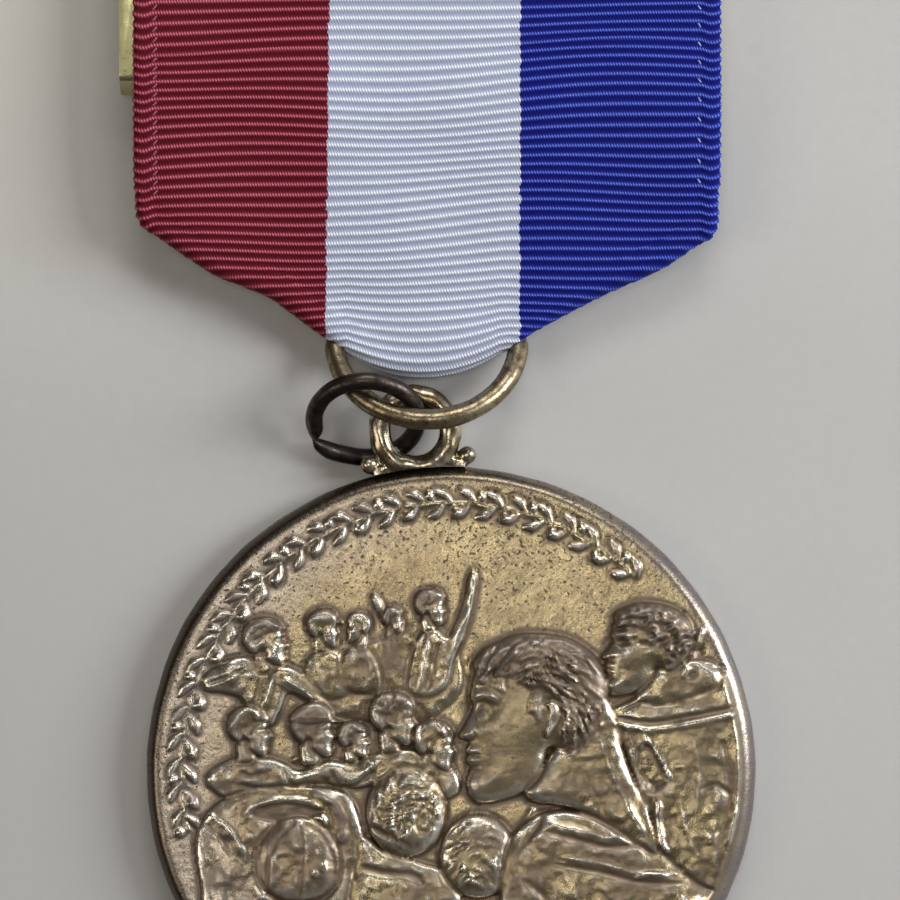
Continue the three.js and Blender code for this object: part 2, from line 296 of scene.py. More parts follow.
class N:
    """Short forms for node building in one tree."""

    def __init__(self, nt):
        self.nt = nt

    def put(self, socket, value):
        if isinstance(value, bpy.types.NodeSocket):
            self.nt.links.new(value, socket)
        else:
            socket.default_value = value

    def attr(self, name, vector=False):
        n = self.nt.nodes.new("ShaderNodeAttribute")
        n.attribute_name = name
        return n.outputs["Vector"] if vector else n.outputs["Fac"]

    def coords(self, scale=1000.0):
        """Object coordinates in millimetres."""
        t = self.nt.nodes.new("ShaderNodeTexCoord")
        v = self.nt.nodes.new("ShaderNodeVectorMath")
        v.operation = "SCALE"
        self.nt.links.new(t.outputs["Object"], v.inputs[0])
        v.inputs["Scale"].default_value = scale
        return v.outputs[0]

    def math(self, op, a, b=0.0, c=None, clamp=False):
        n = self.nt.nodes.new("ShaderNodeMath")
        n.operation = op
        n.use_clamp = clamp
        self.put(n.inputs[0], a)
        self.put(n.inputs[1], b)
        if c is not None:
            self.put(n.inputs[2], c)
        return n.outputs[0]

    def vmul(self, v, xyz):
        n = self.nt.nodes.new("ShaderNodeVectorMath")
        n.operation = "MULTIPLY"
        self.put(n.inputs[0], v)
        n.inputs[1].default_value = xyz
        return n.outputs[0]

    def noise(self, vector, scale, detail=4.0, rough=0.55, distortion=0.0, kind="Fac"):
        n = self.nt.nodes.new("ShaderNodeTexNoise")
        self.put(n.inputs["Vector"], vector)
        n.inputs["Scale"].default_value = scale
        n.inputs["Detail"].default_value = detail
        n.inputs["Roughness"].default_value = rough
        n.inputs["Distortion"].default_value = distortion
        return n.outputs[kind]

    def voronoi(self, vector, scale, feature="F1", out="Distance", random=1.0):
        n = self.nt.nodes.new("ShaderNodeTexVoronoi")
        n.feature = feature
        self.put(n.inputs["Vector"], vector)
        n.inputs["Scale"].default_value = scale
        n.inputs["Randomness"].default_value = random
        return n.outputs[out]

    def ramp(self, fac, stops, interp="LINEAR"):
        n = self.nt.nodes.new("ShaderNodeValToRGB")
        n.color_ramp.interpolation = interp
        el = n.color_ramp.elements
        while len(el) > 1:
            el.remove(el[-1])
        for k, (pos, col) in enumerate(stops):
            e = el[0] if k == 0 else el.new(pos)
            e.position = pos
            e.color = (*col, 1) if len(col) == 3 else col
        self.put(n.inputs[0], fac)
        return n.outputs[0]

    def grey(self, fac, a, b, lo=0.0, hi=1.0):
        n = self.nt.nodes.new("ShaderNodeMapRange")
        n.clamp = True
        self.put(n.inputs[0], fac)
        n.inputs[1].default_value = a
        n.inputs[2].default_value = b
        n.inputs[3].default_value = lo
        n.inputs[4].default_value = hi
        return n.outputs[0]

    def mix(self, fac, a, b, blend="MIX"):
        n = self.nt.nodes.new("ShaderNodeMix")
        n.data_type = "RGBA"
        n.blend_type = blend
        self.put(n.inputs[0], fac)
        for socket, v in ((n.inputs[6], a), (n.inputs[7], b)):
            if not isinstance(v, bpy.types.NodeSocket):
                v = (*v, 1) if len(v) == 3 else v
            self.put(socket, v)
        return n.outputs[2]

    def bump(self, height, strength, distance_mm, normal=None):
        n = self.nt.nodes.new("ShaderNodeBump")
        n.inputs["Strength"].default_value = strength
        n.inputs["Distance"].default_value = distance_mm / 1000
        self.put(n.inputs["Height"], height)
        if normal is not None:
            self.put(n.inputs["Normal"], normal)
        return n.outputs[0]


def lin(r, g, b):
    """sRGB 0-255 to linear."""
    out = []
    for c in (r, g, b):
        c /= 255
        out.append(c / 12.92 if c <= 0.04045 else ((c + 0.055) / 1.055) ** 2.4)
    return tuple(out)


def give(ob, mat):
    ob.data.materials.clear()
    ob.data.materials.append(mat)
    return ob


# ------------------------------------------------------------------ camera, floor, light
def staging():
    cam = bpy.data.cameras.new("camera")
    cam.sensor_width = 36
    far = 0.300
    plane_z = 4.4
    cam.lens = 36 * (far * 1000 - plane_z) / (900 / 16.9)
    cam.clip_start = 0.01
    cam.clip_end = 10
    ob = bpy.data.objects.new("camera", cam)
    x, y, _ = row_point((450 - 426.5) / 16.9, (335 - 450) / 16.9, 0)
    ob.location = (x, y, far)
    ob.rotation_euler = (0, 0, 0)
    scene.collection.objects.link(ob)
    scene.camera = ob

    s = 1.2
    floor = new_object("floor", [(-s * 1000, -s * 1000, -0.02), (s * 1000, -s * 1000, -0.02),
                                 (s * 1000, s * 1000, -0.02), (-s * 1000, s * 1000, -0.02)],
                       np.array([[0, 1, 2, 3]]), smooth=False)
    m, nt, b = material("pale_board")
    n = N(nt)
    c = n.coords()
    big = n.noise(c, 0.02, 3)
    fine = n.noise(c, 1.3, 5, 0.6)
    col = n.mix(n.grey(big, 0.35, 0.65), lin(188, 186, 183), lin(197, 195, 192))
    col = n.mix(n.grey(fine, 0.3, 0.7, 0, 0.35), col, lin(181, 178, 174))
    sp = nt.nodes.new("ShaderNodeSeparateXYZ")
    nt.links.new(c, sp.inputs[0])
    # painted shade: the board darkens towards the lower left
    painted_shade_lower_left = n.grey(n.math("SUBTRACT", n.math("MULTIPLY", sp.outputs[0], -0.8), sp.outputs[1]), -40, 40)
    col = n.mix(n.math("MULTIPLY", painted_shade_lower_left, 0.85), col, lin(170, 167, 163))
    # painted light: a warm, lighter pool towards the upper left
    painted_warm_light_upper_left = n.math("MULTIPLY", n.grey(sp.outputs[0], -12, -30), n.grey(sp.outputs[1], 5, 32))
    col = n.mix(n.math("MULTIPLY", painted_warm_light_upper_left, 0.7), col, lin(212, 205, 190))
    n.put(b.inputs["Base Color"], col)
    n.put(b.inputs["Roughness"], n.grey(fine, 0.3, 0.7, 0.42, 0.55))
    n.put(b.inputs["Normal"], n.bump(fine, 0.15, 0.03))
    give(floor, m)

    w = bpy.data.worlds.new("studio")
    scene.world = w
    w.use_nodes = True
    wt = w.node_tree
    bg = wt.nodes["Background"]
    tc = wt.nodes.new("ShaderNodeTexCoord")
    sep = wt.nodes.new("ShaderNodeSeparateXYZ")
    wt.links.new(tc.outputs["Generated"], sep.inputs[0])
    wn = N(wt)
    across = wn.math("ADD", sep.outputs["X"], wn.math("MULTIPLY", sep.outputs["Y"], 0.35))
    side = wn.ramp(wn.grey(across, -1.0, 1.0), [(0.0, (0.07, 0.065, 0.06)), (0.35, (0.12, 0.115, 0.11)), (0.55, (0.22, 0.22, 0.22)),
                                               (0.78, (0.62, 0.64, 0.68)), (1.0, (0.95, 0.98, 1.05))])
    top = wn.mix(wn.grey(sep.outputs["Z"], 0.55, 0.98), side, (0.17, 0.165, 0.155))
    wt.links.new(top, bg.inputs[0])
    bg.inputs[1].default_value = 0.70

    def area(name, place, target, size, power, colour=(1, 1, 1), size_y=None):
        l = bpy.data.lights.new(name, "AREA")
        l.shape = "RECTANGLE"
        l.size = size
        l.size_y = size_y or size
        l.energy = power
        l.color = colour
        o = bpy.data.objects.new(name, l)
        o.location = place
        d = Vector(target) - Vector(place)
        o.rotation_euler = d.to_track_quat("-Z", "Y").to_euler()
        scene.collection.objects.link(o)
        return o

    area("window_right", (0.62, 0.16, 0.40), (0, 0, 0), 0.22, 4.7, (0.95, 0.975, 1.0), 0.42)
    area("window_top", (0.08, 0.60, 0.55), (0, 0, 0), 0.40, 2.0, (0.98, 0.99, 1.0), 0.25)
    area("left_warm", (-0.55, -0.10, 0.55), (0, 0, 0), 0.25, 0.9, (1.0, 0.93, 0.80), 0.35)
    area("overhead", (-0.05, 0.03, 0.75), (0, 0, 0), 0.16, 0.55, (1.0, 0.97, 0.93))


staging()

# ------------------------------------------------------------------ ribbon
RW, RX = 34.8, 0.03             # strip width and middle
RIB = 0.563                     # rib pitch
Y_BAR_TOP = 27.0
HALF = RW / 2


def ribbon():
    """One woven strip. v runs along it: 0 at the tip under the ring's bar, positive up the front ply, over the
    brooch's top bar, back through the slot and down in front of the plate; negative up the rear of the drape."""
    v1 = 1.75                     # half the length of the U-turn at the tip
    rho = 1.15                    # its depth
    base_tip = -2.30              # mid-surface at the tip's middle
    zf_y = np.array([-1.6, -0.2, 0.8, 1.8, 4.0, 7.3, 10.4, 13.1, 14.8, 26.4])
    zf_z = np.array([2.28, 2.50, 2.58, 2.66, 3.00, 3.50, 3.93, 4.26, 4.34, 4.34])
    zr_y = np.array([-1.6, 1.5, 4.0, 9.0, 13.0])
    zr_z = np.array([0.32, 0.36, 1.05, 2.50, 3.42])
    step = RIB / 5
    # the straight course: lengths of its stretches past the U-turn
    y_start = base_tip + rho
    front_top = 26.35
    l_front = front_top - y_start
    # over the top bar: (Y, Z) points of the mid-surface from the front ply round to the rear ply
    r1 = 0.93
    turn = [(front_top + 0.0, 4.34)]
    turn += [(front_top + r1 * math.sin(a) * 1.0, 4.34 - 0.93 + 0.93 * math.cos(a)) for a in np.radians(np.arange(9, 181, 9))]
    turn += [(y, z) for y, z in [(26.1, 2.46), (25.75, 2.48), (25.42, 2.62), (25.26, 2.9), (25.2, 3.2), (25.12, 3.55),
                                 (24.9, 3.8), (24.5, 3.9), (24.0, 3.9)]]
    turn = np.array(turn)
    down = np.array([(y, z) for y, z in [(20.0, 3.88), (16.0, 3.88), (14.4, 3.84), (13.2, 3.74), (11.5, 3.40), (9.6, 3.02)]])
    upper = np.concatenate([turn, down])
    # finer, smooth upper course
    seg = np.r_[0, np.cumsum(np.linalg.norm(np.diff(upper, axis=0), axis=1))]
    l_upper = seg[-1]
    n_front = int(round((v1 + l_front + l_upper) / step))
    n_rear = int(round((v1 + 12.8 - y_start) / step))
    v = np.arange(-n_rear, n_front + 1) * step
    # columns, finer at the selvages
    u = np.concatenate([np.linspace(-HALF, -HALF + 1.5, 8), np.linspace(-HALF + 1.5, HALF - 1.5, 64)[1:-1],
                        np.linspace(HALF - 1.5, HALF, 8)])
    V, X = np.meshgrid(v, u, indexing="ij")
    side = np.where(V >= 0, 1.0, -1.0)
    a = np.abs(V)

    # the tip's curve, and the small sag and slant of the ribs
    ax = np.abs(X)
    tip = 1.45 * np.clip(ax / 4.6, 0, 1) ** 2.1
    tip = tip + 0.10 * (X / 4.6) * (ax < 4.6)
    fade = np.exp(-np.clip(a - 0.5, 0, None) / 3.2)
    slant = 0.026 * X * smoothstep(-2, 2, V) * (1 - smoothstep(20, 25.5, V))
    wave = (0.24 * np.sin(X / 5.2 + V / 3.6 + 0.6) * np.sin(V / 2.3 + 0.4) + 0.13 * np.sin(X / 2.9 - V / 5.0 + 1.9)) \
        * smoothstep(0.5, 6, V) * (1 - smoothstep(19, 24, V))
    shift = tip * fade + slant + wave

    # (Y, Z) on the straight course
    Y0 = y_start + shift + (a - v1)
    zf = np.interp(Y0, zf_y, zf_z)
    zr = np.interp(Y0, zr_y, zr_z)
    mid, half = (zf + zr) / 2, (zf - zr) / 2
    mid_b = (zf_z[0] + zr_z[0]) / 2 + 0.12 * np.clip(ax / 4.6, 0, 1)
    in_turn = a < v1
    th = np.clip(a / v1, 0, 1) * (np.pi / 2)
    # U-turn: a half ellipse of depth rho
    Yt = y_start + shift - rho * np.cos(th) * (1.0)
    zf0 = np.interp(y_start + shift, zf_y, zf_z)
    zr0 = np.interp(y_start + shift, zr_y, zr_z)
    Y = np.where(in_turn, Yt, Y0)
    mid = np.where(in_turn, (zf0 + zr0) / 2, mid)
    half = np.where(in_turn, (zf0 - zr0) / 2 * np.sin(th) ** 0.75, half)
    edge = np.where(in_turn, np.sin(th) ** 0.75, 1.0)

    # the lower corners are folded in between the plies along two slanting lines
    p0 = np.array([4.15, -0.75])
    p1 = np.array([17.0, 7.62])
    d = (p1 - p0) / np.linalg.norm(p1 - p0)
    nrm = np.array([-d[1], d[0]])        # points to the kept side
    q = (ax - p0[0]) * nrm[0] + (Y - p0[1]) * nrm[1]
    along = (ax - p0[0]) * d[0] + (Y - p0[1]) * d[1]
    # the folds aren't quite straight: fuller near the corners, a little tucked in near the neck
    at = p0[0] + along * d[0]
    full_l = np.interp(at, [4.5, 6.5, 8.0, 9.3, 10.8, 12.1, 14.0, 15.7, 16.5, 16.95, 17.3, 17.7],
                       [0.0, -0.08, -0.22, -0.28, 0.10, 0.46, 0.52, 0.48, 0.36, 0.12, -0.35, -0.9])
    full_r = np.interp(at, [4.5, 6.1, 8.3, 10.0, 10.9, 12.5, 13.6, 15.5, 16.2, 16.66, 17.0, 17.3, 17.7],
                       [-0.05, -0.22, -0.03, 0.22, 0.39, 0.75, 0.92, 0.92, 0.86, 0.64, 0.10, -0.55, -1.1])
    full_q = np.where(X < 0, full_l, full_r)
    q = q + full_q
    e = 0.22
    full = half / np.maximum(edge, 1e-3)
    r = np.clip((full - e) / 2, 0.03, None) * (V < v1 + 20)
    r = np.maximum(r, 0.03)
    bend = np.clip(-q / r, 0, np.pi)
    out_q = np.where(q >= 0, q, np.where(-q < np.pi * r, -r * np.sin(bend), -q - np.pi * r))
    off = np.where(q >= 0, full, e + r + r * np.cos(bend))
    folds = (Y < 12.5) & (V < v1 + 16)
    out_q = out_q - full_q
    nx = p0[0] + along * d[0] + out_q * nrm[0]
    ny = p0[1] + along * d[1] + out_q * nrm[1]
    PX = np.where(folds, np.sign(X) * nx, X)
    PY = np.where(folds, ny, Y)
    PZ = mid + side * np.where(folds, off, full) * edge

    # upper course
    up = V > v1 + l_front
    s = np.clip(V - v1 - l_front - shift * 0, 0, l_upper)
    UY = np.interp(s, seg, upper[:, 0])
    UZ = np.interp(s, seg, upper[:, 1])
    PY = np.where(up, UY, PY)
    PZ = np.where(up, UZ, PZ)
    # drawn in towards the slot
    draw = 1 - (1 - 33.0 / RW) * smoothstep(22.5, 26.0, np.where(up, 26.0, PY)) * (V > v1)
    back_down = V > v1 + l_front + seg[len(turn) - 1]
    draw = np.where(back_down, 1 - (1 - 33.0 / RW) * smoothstep(20.0, 24.0, UY), draw)
    PX = PX * draw

    # a little unevenness of the cloth
    PZ = PZ + (0.05 * np.sin(X / 3.1 + 1.0) * np.sin(V / 4.3) + 0.04 * np.sin(X / 1.7 + V / 2.9)) * (V > v1) * (V < 20) * (q > 1)

    P = np.stack([PX + RX, PY, PZ], -1)
    dv = np.gradient(P, axis=0)
    dx = np.gradient(P, axis=1)
    nrml = np.cross(dx, dv)
    nrml /= np.maximum(np.linalg.norm(nrml, axis=2), 1e-9)[..., None]

    # ribs: cords across the strip, tighter and scalloped in the selvages
    phase = V / RIB
    crest = (0.5 - 0.5 * np.cos(2 * np.pi * phase)) ** 1.5
    from_edge = HALF - ax
    band = 1 - smoothstep(1.05, 1.25, from_edge)
    groove = np.exp(-((from_edge - 1.22) / 0.14) ** 2)
    thick = 0.105 + 0.10 * crest
    thick = thick * (1 - 0.30 * groove) + band * 0.02
    roll = np.sqrt(np.clip(from_edge / 0.35, 0.02, 1))
    thick = thick * roll
    P[..., 0] += np.sign(X) * (0.13 * (crest - 0.5)) * (1 - smoothstep(0.0, 0.7, from_edge)) * (np.abs(PX) > 16)
    P[..., 1] -= band * 0.16 * np.sin(np.clip(from_edge / 1.15, 0, 1) * np.pi) * (~up) * (V > 0)
    top = P + nrml * thick[..., None]
    bot = P - nrml * thick[..., None]
    rows, cols = V.shape
    verts = np.concatenate([top.reshape(-1, 3), bot.reshape(-1, 3)])
    i, j = np.meshgrid(np.arange(rows - 1), np.arange(cols - 1), indexing="ij")
    f1 = np.stack([i * cols + j, i * cols + j + 1, (i + 1) * cols + j + 1, (i + 1) * cols + j], -1).reshape(-1, 4)
    o = rows * cols
    f2 = f1[:, ::-1] + o
    rim = []
    for a_, b_ in ((0, 1),):
        k = np.arange(rows - 1)
        rim.append(np.stack([k * cols, (k + 1) * cols, (k + 1) * cols + o, k * cols + o], -1))
        kk = k * cols + cols - 1
        rim.append(np.stack([kk + cols, kk, kk + o, kk + cols + o], -1))
        k = np.arange(cols - 1)
        rim.append(np.stack([k + 1, k, k + o, k + 1 + o], -1))
        kk = (rows - 1) * cols + k
        rim.append(np.stack([kk, kk + 1, kk + 1 + o, kk + o], -1))
    faces = np.concatenate([f1, f2, *rim])
    strip = np.stack([X, V, np.zeros_like(X)], -1).reshape(-1, 3)
    strip = np.concatenate([strip, strip])
    ob = new_object("ribbon", verts, faces, attributes={"strip": strip})
    outward(ob)
    length = float(v[-1] - v[0])
    # stitch places: front selvages, and the rear face's height at the seam
    flip = 1.0 if nrml[rows * 3 // 5, cols // 2, 2] > 0 else -1.0
    front = top if flip > 0 else bot
    tc = (int(np.argmin(np.abs(u + 16.17))), int(np.argmin(np.abs(u - 16.17))))
    mid_col = cols // 2
    rows_front = [i for i in range(rows) if v[i] > v1 and P[i, tc[0], 1] > 8.4 and not up[i, tc[0]]]
    rear = [i for i in range(rows) if v[i] < -v1]
    k = min(rear, key=lambda i: abs(P[i, mid_col, 1] - 10.4))
    seam_z = float(P[k, mid_col, 2] - 0.20)
    return ob, length, front, nrml * flip, tc, rows_front[0], rows_front[-1] - 4, seam_z


def ribbon_material():
    m, nt, b = material("grosgrain_ribbon")
    n = N(nt)
    strip = n.attr("strip", vector=True)
    sep = nt.nodes.new("ShaderNodeSeparateXYZ")
    nt.links.new(strip, sep.inputs[0])
    x, v = sep.outputs[0], sep.outputs[1]
    # crest of each rib
    ph = n.math("MULTIPLY", v, math.pi / RIB)
    s = n.math("ABSOLUTE", n.math("SINE", ph))
    crest = n.math("POWER", s, 3.0)
    # warp yarns run over the ribs, side by side, each slightly twisted
    skew = n.math("MULTIPLY", v, 0.35)
    yx = n.math("MULTIPLY", n.math("ADD", x, skew), 2 * math.pi / 0.334)
    yarn = n.math("ABSOLUTE", n.math("SINE", yx))
    # painted highlight: bright dots on the yarns along each rib crest
    painted_yarn_highlights = n.math("MULTIPLY", n.math("POWER", yarn, 1.5), n.math("POWER", s, 9.0))
    wob = n.noise(n.vmul(strip, (1.2, 1.2, 1.0)), 1.0, 3)
    # stripe edges step a little from rib to rib
    rib_no = n.math("FLOOR", n.math("MULTIPLY", v, 1 / RIB))
    wn = nt.nodes.new("ShaderNodeTexWhiteNoise")
    wn.noise_dimensions = "1D"
    nt.links.new(rib_no, wn.inputs["W"])
    jit = n.grey(wn.outputs["Value"], 0, 1, -0.06, 0.06)
    bulge = n.grey(s, 0, 1, 0.05, -0.03)
    lean = n.math("MULTIPLY", n.math("SUBTRACT", v, 8.0), 0.012)
    xe = n.math("ADD", n.math("ADD", x, jit), bulge)
    red_edge = n.math("GREATER_THAN", n.math("SUBTRACT", xe, lean), -5.98)
    blue_edge = n.math("GREATER_THAN", xe, 5.52)
    # painted shade: each stripe colour darkens from the rib crests into the grooves and between the yarns
    dark = n.grey(crest, 0.0, 1.0, 0.10, 1.0)
    tone = n.math("MULTIPLY", dark, n.grey(yarn, 0, 1, 0.82, 1.0))
    tone = n.math("MULTIPLY", tone, n.grey(wob, 0.3, 0.7, 0.85, 1.1))
    red = n.mix(tone, lin(70, 0, 14), lin(130, 6, 36))
    red = n.mix(n.math("MULTIPLY", painted_yarn_highlights, 0.75), red, lin(226, 120, 146))
    white = n.mix(tone, lin(150, 156, 180), lin(206, 212, 232))
    white = n.mix(painted_yarn_highlights, white, lin(252, 253, 255))
    blue = n.mix(tone, lin(0, 2, 84), lin(2, 24, 158))
    blue = n.mix(n.math("MULTIPLY", painted_yarn_highlights, 0.65), blue, lin(110, 140, 238))
    col = n.mix(red_edge, red, white)
    col = n.mix(blue_edge, col, blue)
    # fibre glints on the crests
    glint = n.noise(n.vmul(strip, (9.0, 3.0, 1.0)), 2.2, 2)
    glint = n.math("MULTIPLY", n.grey(glint, 0.55, 0.75), n.grey(crest, 0.75, 1.0, 0, 0.35))
    col = n.mix(glint, col, n.mix(0.5, col, (1, 1, 1)))
    n.put(b.inputs["Base Color"], col)
    n.put(b.inputs["Roughness"], n.grey(crest, 0, 1, 0.85, 0.5))
    b.inputs["Sheen Weight"].default_value = 0.03
    b.inputs["Sheen Roughness"].default_value = 0.4
    b.inputs["Specular IOR Level"].default_value = 0.22
    h = n.math("MULTIPLY", yarn, n.grey(crest, 0, 1, 0.3, 1.0))
    fuzz = n.noise(n.vmul(strip, (14.0, 10.0, 1.0)), 1.5, 2)
    h = n.math("ADD", h, n.math("MULTIPLY", fuzz, 0.35))
    n.put(b.inputs["Normal"], n.bump(h, 0.75, 0.05))
    return m


rib, RIBBON_LENGTH, ribbon_top, ribbon_nrm, tick_cols, tick_row0, tick_row1, seam_z = ribbon()
give(rib, ribbon_material())
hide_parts("ribbon_heading", "ribbon_drape")
row_point(0, 14.3, 4.1)
row_point(0, 11.9, 3.9)
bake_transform(rib)


# ------------------------------------------------------------------ relief drawing
DX, DY, DR, FIELD = 1.42, -26.0, 18.2, 2.35      # disc centre, radius and the height of its field
rng = np.random.default_rng(7)


def value_noise(n, cell, seed):
    r = np.random.default_rng(seed)
    k = int(n / cell) + 3
    g = r.random((k, k)) - 0.5
    t = np.arange(n) / cell
    i = t.astype(int)
    f = t - i
    f = f * f * (3 - 2 * f)
    rows = g[i] * (1 - f)[:, None] + g[i + 1] * f[:, None]
    return rows[:, i] * (1 - f)[None] + rows[:, i + 1] * f[None]


def blur(a, radius):
    r = max(1, int(round(radius)))
    for _ in range(2):
        for axis in (0, 1):
            p = np.concatenate([np.repeat(np.take(a, [0], axis), r, axis), a, np.repeat(np.take(a, [-1], axis), r, axis)], axis)
            c = np.cumsum(p, axis)
            z = np.zeros_like(np.take(c, [0], axis))
            c = np.concatenate([z, c], axis)
            w = 2 * r + 1
            hi = np.take(c, np.arange(w, c.shape[axis]), axis)
            lo = np.take(c, np.arange(0, c.shape[axis] - w), axis)
            a = (hi - lo) / w
    return a


class Relief:
    """Heights over a square of 2*half mm. Drawing units are 1/16.8 mm from (450.5, 772), with y downwards."""

    def __init__(self, half=18.7, n=880):
        self.n, self.half = n, half
        self.mm = 2 * half / n
        c = (np.arange(n) + 0.5) * self.mm - half
        self.c = c
        self.H = np.zeros((n, n))
        # dark: tarnish over the figures and in the hollows; values below zero clear it along ridges as painted
        # highlights
        self.dark = np.zeros((n, n))
        self.fig = np.zeros((n, n))
        self.calm = np.zeros((n, n))

    @staticmethod
    def unit(p):
        p = np.asarray(p, float).reshape(-1, 2)
        return np.stack([(p[:, 0] - 450.5) / 16.8, (772 - p[:, 1]) / 16.8], -1)

    def win(self, pts, pad):
        lo = pts.min(0) - pad
        hi = pts.max(0) + pad
        a = np.clip(((lo + self.half) / self.mm).astype(int), 0, self.n - 1)
        b = np.clip(((hi + self.half) / self.mm).astype(int) + 2, 1, self.n)
        if b[0] <= a[0] or b[1] <= a[1]:
            return None
        sl = (slice(a[1], b[1]), slice(a[0], b[0]))
        X, Y = np.meshgrid(self.c[sl[1]], self.c[sl[0]])
        return sl, X, Y

    @staticmethod
    def spline(pts, closed, k=5):
        n = len(pts)
        out = []
        rng_ = range(n) if closed else range(n - 1)
        for i in rng_:
            if closed:
                p0, p1, p2, p3 = pts[(i - 1) % n], pts[i], pts[(i + 1) % n], pts[(i + 2) % n]
            else:
                p0, p1, p2, p3 = pts[max(i - 1, 0)], pts[i], pts[i + 1], pts[min(i + 2, n - 1)]
            for j in range(k):
                t = j / k
                out.append(0.5 * (2 * p1 + (p2 - p0) * t + (2 * p0 - 5 * p1 + 4 * p2 - p3) * t * t
                                  + (3 * p1 - p0 - 3 * p2 + p3) * t ** 3))
        if not closed:
            out.append(pts[-1])
        return np.array(out)

    @staticmethod
    def distance(X, Y, line, closed):
        """Distance to a polyline, and the share of its length at the nearest place."""
        a = line if closed else line[:-1]
        b = np.roll(line, -1, 0) if closed else line[1:]
        best = np.full(X.shape, 1e9)
        where = np.zeros(X.shape)
        for i, (p, q) in enumerate(zip(a, b)):
            d = q - p
            L = d @ d + 1e-12
            t = np.clip(((X - p[0]) * d[0] + (Y - p[1]) * d[1]) / L, 0, 1)
            e = (X - p[0] - t * d[0]) ** 2 + (Y - p[1] - t * d[1]) ** 2
            m = e < best
            best[m] = e[m]
            where[m] = (i + t[m]) / len(a)
        return np.sqrt(best), where

    @staticmethod
    def inside(X, Y, line):
        c = np.zeros(X.shape, bool)
        for (x1, y1), (x2, y2) in zip(line, np.roll(line, -1, 0)):
            if y1 == y2:
                continue
            m = (Y > min(y1, y2)) & (Y <= max(y1, y2))
            m &= X < (x2 - x1) * (Y - y1) / (y2 - y1) + x1
            c ^= m
        return c

    def place(self, sl, d, base, top, width, groove, dark, soft, power=0.5, keep=0.0):
        """Puts a rounded form in front of what is there; d is the distance inside its outline."""
        t = np.clip(d / width, 0, 1)
        h = base + (top - base) * (1 - (1 - t) ** 2) ** power
        mask = smoothstep(-soft, soft, d)
        H = self.H[sl]
        h = h + keep * (H - base)
        out = np.exp(-((np.minimum(d, 0) + 0.03) / 0.13) ** 2) * (d < 0.02) * np.clip(0.62 + 1.5 * PATCHY[sl], 0.1, 1.2)
        H[:] = (H - groove * out) * (1 - mask) + h * mask
        self.dark[sl] = self.dark[sl] * (1 - mask) + dark * mask
        self.dark[sl] += 0.42 * out * (groove > 0) * (1 - mask)
        self.fig[sl] = np.maximum(self.fig[sl], mask)

    def shape(self, pts, base, top, width=0.7, groove=0.06, dark=0.0, soft=0.05, smooth=True, power=0.5, keep=0.0):
        p = self.unit(pts)
        line = self.spline(p, True) if smooth else p
        w = self.win(line, 0.6)
        if w is None:
            return
        sl, X, Y = w
        d, _ = self.distance(X, Y, line, True)
        d = np.where(self.inside(X, Y, line), d, -d)
        self.place(sl, d, base, top, width, groove, dark, soft, power, keep)

    def ellipse(self, cx, cy, rx, ry, rot, base, top, width=0.9, groove=0.06, dark=0.0, soft=0.05, power=0.5):
        c = self.unit((cx, cy))[0]
        rx, ry = rx / 16.8, ry / 16.8
        pad = max(rx, ry)
        w = self.win(c[None], pad + 0.6)
        if w is None:
            return
        sl, X, Y = w
        a = math.radians(rot)
        x = (X - c[0]) * math.cos(a) + (Y - c[1]) * math.sin(a)
        y = -(X - c[0]) * math.sin(a) + (Y - c[1]) * math.cos(a)
        k = np.sqrt((x / rx) ** 2 + (y / ry) ** 2) + 1e-9
        d = (1 - k) * np.sqrt(x * x + y * y) / k
        d = np.where(k < 0.05, min(rx, ry), d)
        self.place(sl, d, base, top, min(width, min(rx, ry)), groove, dark, soft, power)

    def bump(self, cx, cy, rx, ry, h, rot=0.0, dark=0.0, power=2.0):
        c = self.unit((cx, cy))[0]
        rx, ry = rx / 16.8, ry / 16.8
        w = self.win(c[None], 2.2 * max(rx, ry))
        if w is None:
            return
        sl, X, Y = w
        a = math.radians(rot)
        x = ((X - c[0]) * math.cos(a) + (Y - c[1]) * math.sin(a)) / rx
        y = (-(X - c[0]) * math.sin(a) + (Y - c[1]) * math.cos(a)) / ry
        g = np.exp(-(x * x + y * y) ** (power / 2))
        self.H[sl] += h * g
        self.dark[sl] += dark * g

    def stroke(self, pts, width, h, dark=0.0, ends=0.25, smooth=True, sharp=2.0, within=None):
        """A ridge (h above 0) or a groove along a line, fading at both ends."""
        p = self.unit(pts)
        line = self.spline(p, False, 4) if smooth and len(p) > 2 else p
        width = width / 16.8
        w = self.win(line, 2.4 * width)
        if w is None:
            return
        sl, X, Y = w
        d, t = self.distance(X, Y, line, False)
        taper = np.clip(np.minimum(t, 1 - t) / max(ends, 1e-3), 0, 1) ** 0.6
        g = np.exp(-(d / (width * (0.35 + 0.65 * taper))) ** sharp) * (0.25 + 0.75 * taper)
        if within is not None:
            g = g * within[sl]
        self.H[sl] += h * g
        self.dark[sl] += dark * g


R = Relief()
PATCHY = value_noise(R.n, 26, 91)


